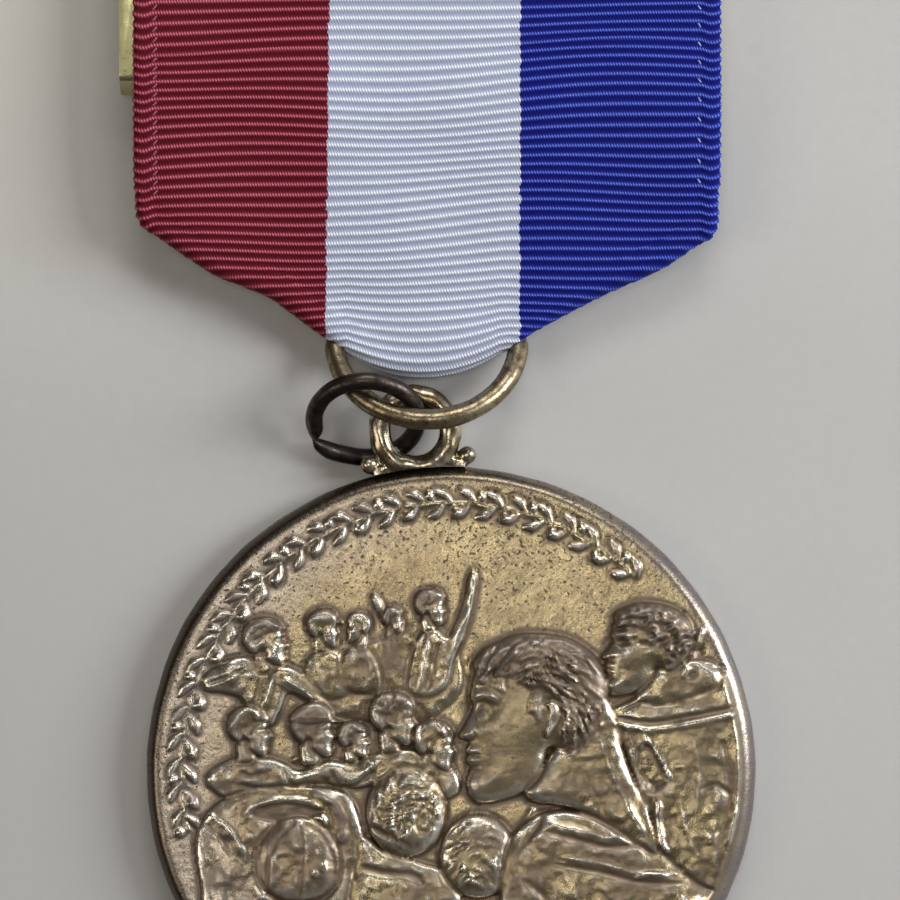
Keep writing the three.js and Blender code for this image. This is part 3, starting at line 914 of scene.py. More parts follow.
def strands(centre, sx, sy, a0, a1, r0, r1, n, seed, length=(16, 34), w=(1.6, 3.0), h=0.10, inward=0.10, dark=-0.1, fit=None):
    """Short locks that lie along arcs round a centre, in drawing units."""
    r_ = np.random.default_rng(seed)
    for _ in range(n):
        a = math.radians(r_.uniform(a0, a1))
        r = r_.uniform(r0, r1)
        L = r_.uniform(*length) / max(r * (sx + sy) / 2, 4)
        turn = r_.uniform(-0.5, 1.0) * inward
        pts = []
        for k in range(5):
            aa = a + L * (k / 4 - 0.5)
            rr = r * (1 - turn * (k / 4 - 0.5)) + 1.2 * math.sin(k * 1.3 + a * 3)
            pts.append((centre[0] + sx * rr * math.cos(aa), centre[1] - sy * rr * math.sin(aa)))
        R.stroke(pts, r_.uniform(*w), h * r_.uniform(0.4, 1.1), dark=dark, within=fit)
        off = r_.uniform(2.0, 3.4)
        g = [(x + off * (x - centre[0]) / (r * sx + 1e-6), y + off * (y - centre[1]) / (r * sy + 1e-6)) for x, y in pts]
        R.stroke(g, 1.1, -0.75 * h, dark=0.35, within=fit)


def curls(cx, cy, rx, ry, n, size, h, seed, fit=None):
    r_ = np.random.default_rng(seed)
    for _ in range(n):
        a, k = r_.uniform(0, 2 * math.pi), math.sqrt(r_.uniform(0, 1))
        x, y = cx + rx * k * math.cos(a), cy + ry * k * math.sin(a)
        s = size * r_.uniform(0.7, 1.3)
        b = r_.uniform(0, 2 * math.pi)
        turn = r_.choice([-1, 1])
        pts = [(x + s * (1 - 0.16 * j) * math.cos(b + turn * j * 0.9), y + s * (1 - 0.16 * j) * math.sin(b + turn * j * 0.9)) for j in range(6)]
        R.stroke(pts, s * 0.30, h, dark=-0.15, within=fit)
        R.bump(x, y, s * 0.45, s * 0.45, -0.8 * h, dark=0.5)


def head_map(x0, y0, S, T, tilt):
    """Head coordinates: t runs back from the face plane and s up from the chin, in head heights."""
    a = math.radians(tilt)

    def f(t, s):
        x, y = T * t, -S * s
        px, py = x - 0.45 * T, y + 0.5 * S
        return (x0 + 0.45 * T + px * math.cos(a) - py * math.sin(a), y0 - 0.5 * S + px * math.sin(a) + py * math.cos(a))
    return f


# classical head in profile by the canon of thirds: hairline, brow, base of nose and chin evenly spaced
PROFILE = [(0.085, 0.80), (0.040, 0.755), (0.022, 0.70), (0.018, 0.655), (0.030, 0.618), (0.040, 0.590), (0.018, 0.545),
           (-0.018, 0.480), (-0.050, 0.430), (-0.044, 0.408), (-0.010, 0.400), (0.020, 0.392), (0.016, 0.365),
           (0.000, 0.340), (0.004, 0.325), (0.024, 0.314), (0.010, 0.300), (0.008, 0.278), (0.028, 0.258),
           (0.038, 0.238), (0.030, 0.205), (0.016, 0.165), (0.018, 0.120), (0.045, 0.070), (0.095, 0.035)]
JAW = [(0.17, 0.030), (0.28, 0.055), (0.40, 0.095), (0.50, 0.165), (0.565, 0.27), (0.60, 0.38)]
SKULL = [(0.78, 0.36), (0.90, 0.48), (0.965, 0.62), (0.955, 0.77), (0.86, 0.90), (0.70, 0.975), (0.52, 1.0), (0.34, 0.985),
         (0.20, 0.925), (0.12, 0.86)]


def profile_head(f, S, base, top, dark_face, dark_hair, seed, curly=False, ear=True):
    k = S / 173
    outline = [f(*p) for p in PROFILE + JAW + SKULL]
    R.shape(outline, base, top, width=1.9 * k, groove=0.10, dark=dark_face, soft=0.05, power=0.62)
    cc_ = R.unit(f(0.20, 0.42))[0]
    gx, gy = np.meshgrid(R.c - cc_[0], R.c - cc_[1])
    R.calm = np.maximum(R.calm, np.exp(-((gx / (0.40 * S / 16.8)) ** 2 + (gy / (0.46 * S / 16.8)) ** 2) ** 2))
    # forehead, brow, socket, eye
    c = f(0.16, 0.72); R.bump(*c, 17 * k, 12 * k, 0.04)
    R.stroke([f(0.030, 0.648), f(0.09, 0.668), f(0.16, 0.662), f(0.225, 0.632)], 4.6 * k, 0.085)
    R.stroke([f(0.035, 0.655), f(0.10, 0.682), f(0.17, 0.675), f(0.22, 0.65)], 1.4 * k, 0.035, dark=0.15)
    c = f(0.108, 0.592); R.bump(*c, 14 * k, 9.0 * k, -0.24, rot=6, dark=0.30)
    c = f(0.098, 0.576); R.bump(*c, 7.8 * k, 5.0 * k, 0.17, dark=-0.3, power=3)
    R.stroke([f(0.050, 0.572), f(0.075, 0.606), f(0.117, 0.611), f(0.168, 0.576)], 1.9 * k, 0.12, dark=-0.2)
    R.stroke([f(0.055, 0.562), f(0.080, 0.593), f(0.115, 0.597), f(0.155, 0.569)], 1.2 * k, -0.10, dark=0.6)
    R.stroke([f(0.056, 0.550), f(0.085, 0.538), f(0.122, 0.542), f(0.156, 0.566)], 1.6 * k, 0.07)
    c = f(0.074, 0.573); R.bump(*c, 1.5 * k, 2.0 * k, -0.06, dark=0.5)
    # nose wing, nostril, cheek
    c = f(0.012, 0.428); R.bump(*c, 6.0 * k, 5.0 * k, 0.085)
    R.stroke([f(0.038, 0.462), f(0.062, 0.440), f(0.058, 0.408), f(0.035, 0.396)], 1.6 * k, -0.075, dark=0.45)
    c = f(-0.006, 0.406); R.bump(*c, 3.0 * k, 1.5 * k, -0.09, dark=0.7)
    c = f(0.26, 0.475); R.bump(*c, 26 * k, 20 * k, 0.07, rot=-20)
    c = f(0.33, 0.30); R.bump(*c, 24 * k, 22 * k, -0.05)
    R.stroke([f(0.07, 0.420), f(0.105, 0.380), f(0.115, 0.335)], 2.6 * k, -0.03, dark=0.12)
    # lips and chin
    c = f(0.045, 0.345); R.bump(*c, 8.0 * k, 3.8 * k, 0.055)
    c = f(0.045, 0.286); R.bump(*c, 7.6 * k, 4.0 * k, 0.065)
    R.stroke([f(0.014, 0.3135), f(0.050, 0.3165), f(0.085, 0.3130), f(0.112, 0.3100)], 1.3 * k, -0.095, dark=0.7, ends=0.15)
    R.stroke([f(0.035, 0.243), f(0.065, 0.240), f(0.095, 0.252)], 2.4 * k, -0.05, dark=0.2)
    c = f(0.070, 0.150); R.bump(*c, 11 * k, 11 * k, 0.06)
    R.stroke([f(0.10, 0.055), f(0.25, 0.085), f(0.40, 0.135), f(0.50, 0.22), f(0.545, 0.33)], 5.0 * k, 0.06)
    # hair over the skull, from the hairline round to the nape
    hair = [f(*p) for p in [(0.025, 0.735), (0.045, 0.80), (0.030, 0.86), (0.085, 0.93), (0.20, 0.985), (0.34, 1.035), (0.52, 1.045),
                            (0.72, 1.02), (0.90, 0.93), (0.995, 0.78), (1.000, 0.62), (0.935, 0.47), (0.82, 0.36), (0.735, 0.345),
                            (0.68, 0.43), (0.675, 0.55), (0.655, 0.665), (0.575, 0.675), (0.535, 0.60), (0.515, 0.52), (0.490, 0.56),
                            (0.475, 0.66), (0.435, 0.735), (0.35, 0.765), (0.26, 0.79), (0.165, 0.785), (0.105, 0.745)]]
    line = R.spline(R.unit(hair), True)
    sl, X, Y = R.win(line, 0.6)
    d, _ = R.distance(X, Y, line, True)
    d = np.where(R.inside(X, Y, line), d, -d)
    mask = smoothstep(-0.06, 0.10, d)
    edge = np.clip(d / (1.5 * k), 0, 1)
    hair_h = base + (top + 0.07 - base) * (1 - (1 - edge) ** 2) ** 0.55
    H = R.H[sl]
    H[:] = H * (1 - mask) + np.maximum(hair_h, H + 0.05) * mask
    R.dark[sl] = R.dark[sl] * (1 - mask) + dark_hair * mask
    R.fig[sl] = np.maximum(R.fig[sl], mask)
    fit = np.zeros_like(R.H)
    fit[sl] = mask
    if ear:
        e = [f(0.585, 0.600), f(0.560, 0.635), f(0.590, 0.655), f(0.640, 0.640), f(0.660, 0.585), f(0.640, 0.520), f(0.605, 0.470),
             f(0.580, 0.440), f(0.560, 0.455), f(0.560, 0.52)]
        z_ear = R_at(f(0.60, 0.56))
        R.shape(e, z_ear + 0.06, z_ear + 0.22, width=0.3 * k, groove=0.10, dark=dark_face - 0.2, power=0.7)
        R.stroke([f(0.585, 0.590), f(0.580, 0.625), f(0.605, 0.632), f(0.632, 0.600), f(0.625, 0.540), f(0.600, 0.490)], 1.7 * k, -0.075, dark=0.5)
        c = f(0.595, 0.545); R.bump(*c, 3.4 * k, 5.0 * k, -0.09, dark=0.6)
        c = f(0.580, 0.465); R.bump(*c, 3.6 * k, 3.4 * k, 0.05)
    return f, fit


def R_at(p):
    u = R.unit(p)[0]
    i = np.clip(((u + R.half) / R.mm).astype(int), 0, R.n - 1)
    return float(R.H[i[1], i[0]])


def small_head(cx, cy, r, facing, base, top, seed, hat=None, dark=0.15, curly=False, tilt=0):
    """Head of a figure in the crowd, in profile; facing is -1 for left and 1 for right."""
    S, T = 2.05 * r, 1.78 * r
    s = facing

    def f(t, u):
        x, y = s * T * (0.47 - t), -S * (u - 0.52)
        a = math.radians(tilt)
        return (cx + x * math.cos(a) - y * math.sin(a), cy + x * math.sin(a) + y * math.cos(a))
    k = S / 100
    R.shape([f(0.34, 0.22), f(0.36, -0.08), f(0.56, -0.16), f(0.78, -0.08), f(0.78, 0.40)], base, base + 0.6 * (top - base), width=1.0 * k, groove=0.03, dark=dark)
    outline = [f(*q) for q in [(0.10, 0.82), (0.045, 0.74), (0.040, 0.64), (0.062, 0.585), (0.015, 0.50), (-0.050, 0.425), (0.010, 0.385),
                               (0.000, 0.345), (0.030, 0.312), (0.012, 0.275), (0.045, 0.235), (0.022, 0.155), (0.060, 0.055),
                               (0.17, 0.015), (0.32, 0.055), (0.50, 0.165), (0.60, 0.36), (0.78, 0.34), (0.92, 0.50), (0.97, 0.68), (0.90, 0.88),
                               (0.70, 0.98), (0.45, 1.0), (0.22, 0.93)]]
    R.shape(outline, base, top, width=0.95 * k, groove=0.09, dark=dark, soft=0.03, power=0.6)
    # brow, socket, eye, cheek, mouth, jaw
    R.stroke([f(0.050, 0.640), f(0.13, 0.655), f(0.23, 0.620)], 3.0 * k, 0.06)
    c = f(0.135, 0.565); R.bump(*c, 8.0 * k, 5.0 * k, -0.13, dark=0.55)
    c = f(0.120, 0.560); R.bump(*c, 3.4 * k, 2.4 * k, 0.09, dark=-0.3)
    c = f(0.27, 0.44); R.bump(*c, 12 * k, 10 * k, 0.045)
    c = f(0.040, 0.425); R.bump(*c, 3.6 * k, 3.4 * k, 0.05)
    R.stroke([f(0.020, 0.3125), f(0.075, 0.3150), f(0.125, 0.3050)], 1.5 * k, -0.07, dark=0.6)
    R.stroke([f(0.12, 0.070), f(0.32, 0.110), f(0.50, 0.230), f(0.57, 0.36)], 3.0 * k, 0.04)
    z = R_at(f(0.30, 0.75))
    hair = [f(*q) for q in [(0.045, 0.74), (0.055, 0.86), (0.20, 1.01), (0.46, 1.07), (0.76, 1.03), (0.98, 0.86), (1.02, 0.62), (0.92, 0.43),
                            (0.76, 0.33), (0.68, 0.42), (0.67, 0.60), (0.56, 0.64), (0.50, 0.52), (0.44, 0.70), (0.30, 0.77), (0.14, 0.77)]]
    R.shape(hair, max(z - 0.05, base), top + 0.06, width=0.75 * k, groove=0.06, dark=dark + 0.35, power=0.6)
    line = R.spline(R.unit(hair), True)
    sl, X, Y = R.win(line, 0.3)
    mask = np.zeros_like(R.H)
    mask[sl] = R.inside(X, Y, line)
    mid = f(0.55, 0.62)
    if curly:
        c0 = f(0.52, 0.86)
        curls(c0[0], c0[1], 0.40 * T, 0.16 * S, int(10 + r * 0.5), 0.17 * r, 0.08, seed, mask)
    else:
        strands(mid, 0.9, 1.0, 0, 200 if s < 0 else 190, 0.30 * S, 0.52 * S, int(8 + r * 0.9), seed, (0.30 * r, 0.75 * r), (0.055 * r, 0.09 * r), 0.075, 0.12, fit=mask)
    e = f(0.60, 0.50)
    R.bump(*e, 4.6 * k, 7.0 * k, 0.10, dark=-0.25)
    R.bump(*e, 2.0 * k, 3.6 * k, -0.11, dark=0.5)
    if hat == "cap":
        R.shape([f(-0.22, 0.735), f(0.02, 0.80), f(0.08, 0.98), f(0.34, 1.12), f(0.66, 1.10), f(0.96, 0.92), f(1.02, 0.74), f(0.62, 0.70), f(0.20, 0.72)],
                top - 0.04, top + 0.10, width=0.8 * k, groove=0.08, dark=dark + 0.3)
        R.stroke([f(0.03, 0.775), f(0.40, 0.775), f(0.98, 0.80)], 1.7 * k, -0.06, dark=0.5)


def draw_relief():
    n = R.n
    U, V = np.meshgrid(R.c, R.c)
    # hand-modelled ground
    R.H += 0.030 * value_noise(n, 120, 1) + 0.022 * value_noise(n, 45, 2) + 0.012 * value_noise(n, 18, 3)

    # leaf and berry border over the upper part
    ang = 46.0
    i = 0
    r_ = np.random.default_rng(11)

    def polar(a, r):
        return 450.5 + 16.8 * r * math.cos(math.radians(a)), 772 - 16.8 * r * math.sin(math.radians(a))
    stem = [polar(a, 16.02 + 0.07 * math.sin(a * 0.9)) for a in np.arange(46, 194.5, 3)]
    R.stroke(stem, 2.6, 0.13, ends=0.02, dark=0.0)
    while ang < 193:
        for s, start in ((1, 0.0), (-1, 1.6)):
            a0 = ang + start + r_.uniform(-0.2, 0.2)
            if a0 > 192:
                continue
            L = r_.uniform(3.9, 4.5)
            lift = 0.62 * s
            pts = [polar(a0, 16.02 + 0.08 * s), polar(a0 + 0.30 * L, 16.02 + s * 0.72 + 0.0), polar(a0 + 0.62 * L, 16.02 + s * 0.86),
                   polar(a0 + L, 16.02 + s * 0.80), polar(a0 + 0.72 * L, 16.02 + s * 0.44), polar(a0 + 0.36 * L, 16.02 + s * 0.20)]
            R.shape(pts, 0.02, 0.25, width=0.30, groove=0.07, dark=0.05, soft=0.05)
            R.stroke([polar(a0 + 0.1 * L, 16.02 + s * 0.18), polar(a0 + 0.5 * L, 16.02 + s * 0.55), polar(a0 + 0.92 * L, 16.02 + s * 0.78)],
                     1.1, -0.085, dark=0.5)
        R.bump(*polar(ang + 4.75, 16.02 - 0.50 * (1 if i % 2 else -1)), 4.6, 4.6, 0.22, power=4, dark=-0.1)
        ang += 5.45
        i += 1

    # far rows of the crowd
    def mass(pts, base, top, width=0.8, groove=0.05, dark=0.15, **k):
        R.shape(pts, base, top, width, groove, dark, **k)

    mass([(318, 655), (345, 640), (372, 640), (400, 628), (425, 622), (452, 640), (460, 690), (420, 720), (360, 720), (310, 700)], 0.04, 0.15, 1.2, 0.02, 0.1)
    mass([(304, 668), (316, 650), (336, 650), (350, 662), (352, 690), (330, 700), (306, 694)], 0.08, 0.26, 0.6, 0.05, 0.2)
    mass([(340, 660), (352, 646), (366, 648), (378, 664), (380, 690), (356, 694), (342, 684)], 0.08, 0.24, 0.6, 0.05, 0.25)
    mass([(408, 690), (412, 655), (420, 632), (436, 628), (448, 636), (456, 622), (464, 600), (468, 578), (474, 573), (477, 582),
          (473, 606), (466, 634), (456, 656), (448, 684), (430, 696)], 0.08, 0.30, 0.35, 0.06, 0.1)
    R.stroke([(474, 578), (471, 604), (463, 630)], 3.0, 0.12, dark=-0.3)
    R.bump(473, 573, 4.5, 5.5, 0.16)
    R.stroke([(428, 636), (424, 664), (418, 690)], 2.6, 0.12, dark=-0.3)
    R.stroke([(440, 640), (434, 668), (428, 690)], 1.8, -0.10, dark=0.6)
    R.shape([(370, 598), (377, 594), (384, 606), (388, 618), (380, 616)], 0.05, 0.22, 0.3, 0.05, 0.4)
    small_head(324, 630, 17, 1, 0.10, 0.38, 31, hat="cap", dark=0.2)
    small_head(358, 628, 14, -1, 0.10, 0.34, 32, dark=0.2)
    small_head(393, 620, 12, 1, 0.06, 0.26, 37, dark=0.2)
    small_head(431, 608, 17, 1, 0.12, 0.42, 33, dark=0.1, curly=True)

    # figure at the left with an arm out
    mass([(203, 676), (222, 662), (244, 656), (262, 664), (284, 664), (304, 674), (326, 700), (330, 712), (312, 704), (290, 692),
          (280, 712), (270, 726), (250, 716), (240, 698), (222, 692), (206, 690)], 0.10, 0.36, 0.7, 0.07, 0.1)
    R.stroke([(208, 684), (228, 676), (246, 668)], 1.8, -0.09, dark=0.5)
    R.stroke([(282, 676), (300, 688), (326, 708)], 2.6, 0.10, dark=-0.2)
    R.stroke([(278, 684), (296, 698), (314, 708)], 1.4, -0.10, dark=0.6)
    R.stroke([(274, 672), (268, 694), (258, 716)], 2.6, 0.13, dark=-0.4)
    R.stroke([(262, 676), (258, 694), (250, 710)], 1.5, -0.09, dark=0.5)
    R.bump(232, 676, 5, 4, 0.10)
    small_head(266, 643, 23, 1, 0.14, 0.50, 34, dark=0.1, tilt=-6)

    # second row
    mass([(206, 782), (214, 768), (238, 756), (262, 756), (284, 762), (300, 770), (330, 760), (352, 764), (368, 756), (398, 748),
          (424, 752), (450, 762), (460, 790), (430, 800), (380, 786), (352, 788), (320, 782), (296, 790), (262, 800), (230, 800)],
         0.14, 0.38, 0.8, 0.06, 0.2)
    for pts in ([(238, 770), (250, 776), (262, 772)], [(284, 768), (292, 784), (306, 788)], [(330, 768), (338, 782), (352, 786)],
                [(366, 764), (376, 778), (392, 782)], [(404, 762), (412, 774), (428, 778)]):
        R.stroke(pts, 2.0, -0.11, dark=0.6)
    R.stroke([(238, 784), (270, 790), (300, 784), (330, 778)], 3.0, -0.14, dark=0.8, ends=0.1)
    R.stroke([(318, 776), (336, 786), (356, 784), (372, 772)], 2.4, -0.14, dark=0.8, ends=0.1)
    R.stroke([(290, 762), (300, 756)], 3.0, 0.10, dark=-0.4)
    R.stroke([(366, 772), (374, 762)], 3.0, 0.12, dark=-0.4)
    small_head(354, 740, 17, 1, 0.12, 0.36, 35, dark=0.15)
    small_head(250, 732, 23, 1, 0.20, 0.52, 36, dark=0.2)
    small_head(314, 732, 24, 1, 0.20, 0.54, 38, hat="cap", dark=0.15)
    small_head(394, 720, 25, 1, 0.20, 0.54, 39, dark=0.1, curly=True)
    small_head(435, 746, 23, 1, 0.22, 0.52, 40, dark=0.1, tilt=5)
    R.stroke([(412, 700), (424, 712), (430, 730)], 2.0, -0.07, dark=0.4)

    # second large figure at the right: shoulders and coat
    mass([(606, 716), (622, 704), (660, 690), (700, 690), (716, 676), (748, 664), (770, 700), (776, 772), (772, 830), (748, 884), (716, 925),
          (688, 930), (664, 900), (648, 850), (638, 800), (626, 752)], 0.20, 0.58, 1.5, 0.07, 0.12, power=0.6)
    R.stroke([(612, 716), (650, 722), (690, 716), (744, 705)], 2.6, -0.16, dark=0.8, ends=0.08)
    R.stroke([(612, 722), (650, 729), (690, 723), (744, 712)], 3.0, 0.08, dark=-0.1, ends=0.1)
    R.stroke([(618, 712), (640, 702), (672, 688)], 2.0, -0.14, dark=0.7)
    R.stroke([(624, 706), (646, 696), (676, 682)], 2.2, 0.07)
    R.stroke([(640, 726), (650, 746), (664, 768), (672, 780)], 2.4, 0.13, dark=-0.3)
    R.stroke([(632, 730), (640, 756), (648, 776), (656, 790)], 2.0, -0.12, dark=0.6)
    R.stroke([(620, 722), (628, 752), (640, 790), (648, 820)], 2.2, -0.10, dark=0.5)
    R.shape([(648, 744), (662, 766), (664, 782), (650, 784), (638, 770), (640, 752)], 0.30, 0.40, 0.3, 0.05, 0.05)
    R.bump(655, 787, 6, 5, -0.16, dark=0.8)
    # a raised fold, with a painted highlight along it
    R.stroke([(658, 798), (658, 820), (661, 842), (668, 852)], 3.6, 0.18, dark=-0.7, ends=0.15)
    R.stroke([(651, 800), (651, 828), (655, 852), (676, 874), (700, 888), (716, 890)], 2.4, -0.20, dark=0.8, ends=0.1)
    R.stroke([(736, 728), (742, 760), (740, 800), (728, 850)], 4.0, 0.10, dark=-0.3)
    R.stroke([(722, 740), (730, 776), (726, 816), (716, 846)], 4.0, -0.11, dark=0.5)
    R.stroke([(700, 790), (716, 784), (732, 796)], 2.6, -0.12, dark=0.6)
    for pts in ([(690, 730), (700, 770), (696, 810)], [(680, 800), (686, 830), (700, 856)], [(706, 826), (716, 850), (712, 876)]):
        R.stroke(pts, 4.0, 0.05, dark=0.1)

    # second large head, curly, looking left and down
    f2 = head_map(607, 702, 96, 84, 7)
    mass([(636, 700), (650, 672), (690, 660), (716, 664), (722, 684), (700, 694), (668, 704)], 0.24, 0.50, 0.8, 0.04, 0.1)
    f2, fit2 = profile_head(f2, 100, 0.12, 0.70, 0.25, 0.85, 3, ear=False)
    curls(652, 628, 42, 25, 62, 6.5, 0.12, 5, fit2)
    curls(684, 652, 18, 26, 26, 6.0, 0.13, 6, fit2)
    for x, y in ((704, 632), (697, 650), (690, 664)):
        R.stroke([(x, y - 6), (x - 4, y + 4), (x - 6, y + 14)], 2.6, 0.15, dark=-0.6)
    R.stroke([(700, 660), (716, 668), (736, 662)], 2.2, -0.12, dark=0.6)

    # front row, seen from behind
    mass([(196, 836), (214, 806), (246, 790), (300, 786), (344, 792), (360, 820), (366, 860), (360, 910), (220, 925), (200, 880)], 0.20, 0.44, 1.3, 0.07, 0.15)
    R.stroke([(206, 812), (226, 826), (240, 846), (246, 862)], 3.0, 0.12, dark=-0.3)
    R.stroke([(200, 820), (220, 836), (232, 856)], 2.0, -0.11, dark=0.5)
    R.shape([(250, 815), (262, 805), (290, 802), (312, 806), (322, 812), (300, 820), (272, 822)], 0.34, 0.26, 0.25, 0.02, 0.75)
    R.stroke([(252, 806), (280, 798), (310, 800)], 2.0, 0.08, dark=-0.2)
    R.stroke([(314, 790), (332, 800), (342, 820), (340, 842)], 5.2, 0.12, dark=0.65, ends=0.15, sharp=3)
    R.stroke([(322, 814), (324, 826), (320, 836)], 3.2, 0.18, dark=-0.8)
    mass([(356, 862), (362, 836), (384, 850), (420, 862), (448, 872), (462, 900), (440, 930), (380, 935), (350, 910)], 0.24, 0.52, 1.0, 0.08, 0.15)
    R.stroke([(360, 866), (384, 872), (410, 874), (424, 882)], 3.4, -0.16, dark=0.9, ends=0.1)
    R.ellipse(298, 862, 43, 46, 0, 0.24, 0.80, width=1.7, groove=0.10, dark=0.55, power=0.7)
    R.stroke([(262, 838), (280, 822), (304, 818), (326, 828)], 1.6, 0.07, dark=-0.2)
    R.stroke([(262, 890), (290, 902), (322, 898), (338, 884)], 2.4, -0.12, dark=0.5)
    for pts in ([(299, 821), (281, 836), (269, 860), (268, 888)], [(300, 821), (303, 846), (302, 872), (300, 898)],
                [(301, 821), (322, 834), (334, 858), (333, 884)]):
        R.stroke(pts, 1.5, -0.075, dark=0.45, ends=0.1)
        R.stroke([(x + 2.6, y) for x, y in pts], 1.3, 0.035, ends=0.1)
    R.bump(300, 821, 4.6, 3.4, 0.10, dark=-0.3)
    # painted highlights: bright streaks down the right side of the cap
    for x, y, l in ((318, 850, 11), (324, 866, 13), (314, 872, 9)):
        R.stroke([(x, y - l / 2), (x + 2, y + l / 2)], 2.4, 0.07, dark=-0.9)
    R.ellipse(406, 812, 40, 45, 0, 0.26, 0.82, width=1.7, groove=0.12, dark=0.25, power=0.65)
    cap = np.zeros_like(R.H)
    cc = R.unit((406, 806))[0]
    Uc, Vc = np.meshgrid(R.c, R.c)
    cap[((Uc - cc[0]) / (36 / 16.8)) ** 2 + ((Vc - cc[1]) / (40 / 16.8)) ** 2 < 1] = 1
    cap = blur(cap, 2)
    strands((420, 850), 0.9, 1.05, 30, 190, 20, 84, 110, 21, (8, 16), (1.3, 2.4), 0.10, 0.25, fit=cap)
    curls(402, 800, 30, 30, 34, 5.0, 0.07, 22, cap)
    R.stroke([(366, 800), (378, 778), (400, 766), (424, 772), (438, 786)], 1.8, 0.10, dark=-0.2)
    # painted highlights: bright streaks on the right of the head
    for x, y, l in ((436, 798, 12), (428, 812, 14), (440, 812, 9)):
        R.stroke([(x, y - l / 2), (x - 1, y), (x - 3, y + l / 2)], 2.8, 0.16, dark=-0.9)
    R.shape([(418, 812), (424, 804), (431, 812), (430, 826), (422, 832), (416, 824)], 0.62, 0.74, 0.25, 0.07, 0.2)
    R.bump(423, 818, 3, 5, -0.10, dark=0.6)
    R.stroke([(366, 824), (390, 836), (412, 846)], 2.2, -0.10, dark=0.5)
    R.ellipse(478, 856, 38, 42, 0, 0.30, 0.80, width=1.5, groove=0.11, dark=0.45, power=0.65)
    strands((474, 905), 1.0, 1.1, 40, 150, 20, 86, 90, 22, (10, 20), (1.3, 2.2), 0.08, 0.15,
            fit=blur((((Uc - 1.64) / 2.1) ** 2 + ((Vc + 5.0) / 2.35) ** 2 < 1).astype(float), 2))
    # painted highlights: bright marks over the head
    for x, y, l in ((494, 862, 14), (500, 868, 10), (470, 876, 12), (462, 866, 9)):
        R.stroke([(x, y - l / 2), (x + 1, y + l / 2)], 2.2, 0.12, dark=-0.8)

    # lower masses, down to the ground line
    mass([(214, 925), (240, 905), (300, 902), (352, 912), (372, 940), (366, 985), (300, 1010), (240, 970)], 0.24, 0.56, 1.3, 0.08, 0.2)
    mass([(350, 945), (372, 915), (420, 905), (470, 905), (520, 915), (540, 950), (536, 1010), (350, 1015)], 0.28, 0.60, 1.4, 0.08, 0.2)
    for pts in ([(262, 925), (282, 945), (290, 980)], [(330, 925), (336, 955), (330, 985)], [(400, 925), (408, 960), (400, 1000)],
                [(470, 925), (466, 960), (474, 1000)], [(508, 930), (514, 965), (508, 1000)]):
        R.stroke(pts, 3.0, -0.13, dark=0.5)

    # near figure: shoulders, collar, neck, then the head
    mass([(505, 850), (522, 826), (546, 812), (590, 812), (630, 828), (662, 852), (700, 884), (735, 905), (700, 960), (660, 1005),
          (540, 1015), (512, 960), (500, 900)], 0.34, 0.80, 1.6, 0.12, 0.25, power=0.62)
    R.stroke([(512, 838), (528, 818), (534, 806)], 3.6, 0.15, dark=-0.1)
    R.stroke([(520, 846), (538, 826), (542, 812)], 2.4, -0.14, dark=0.7)
    R.stroke([(545, 830), (575, 838), (608, 846), (650, 842)], 3.0, -0.15, dark=0.7, ends=0.12)
    R.stroke([(548, 822), (580, 829), (610, 836), (648, 834)], 3.0, 0.09)
    R.stroke([(560, 856), (600, 862), (640, 872), (690, 872)], 2.6, 0.09, dark=-0.2)
    R.stroke([(556, 864), (600, 871), (640, 881), (684, 882)], 2.4, -0.12, dark=0.5)
    R.stroke([(630, 880), (650, 872), (668, 876)], 2.4, 0.12, dark=-0.6)
    R.stroke([(524, 880), (548, 900), (560, 930)], 3.0, -0.13, dark=0.6)
    R.stroke([(600, 890), (620, 920), (622, 960)], 4.0, -0.10, dark=0.4)
    R.stroke([(680, 895), (690, 902), (704, 896)], 3.6, 0.16, dark=-0.8)
    mass([(524, 790), (540, 770), (590, 700), (610, 700), (620, 740), (634, 780), (652, 822), (656, 854), (632, 842), (600, 820), (566, 806), (536, 802)],
         0.40, 0.74, 1.0, 0.05, 0.15)
    R.stroke([(600, 736), (612, 772), (630, 808), (646, 836)], 3.2, 0.07)
    R.stroke([(584, 770), (594, 796), (612, 822)], 3.4, -0.06, dark=0.2)
    R.stroke([(612, 716), (630, 756), (644, 800), (656, 848)], 2.6, 0.13, dark=-0.1)
    R.stroke([(560, 812), (590, 820), (622, 838), (650, 856)], 2.2, 0.08)
    f1 = head_map(467, 810, 169, 139, 2.5)
    f1, fit1 = profile_head(f1, 173, 0.34, 0.90, 0.42, 0.85, 4)
    ec = f1(0.48, 0.50)
    strands(ec, 0.92, 1.0, 40, 178, 40, 92, 190, 41, (16, 34), (1.5, 3.0), 0.105, 0.16, fit=fit1)
    strands(ec, 0.92, 1.0, -32, 40, 24, 80, 80, 42, (14, 26), (1.4, 2.6), 0.09, 0.2, fit=fit1)
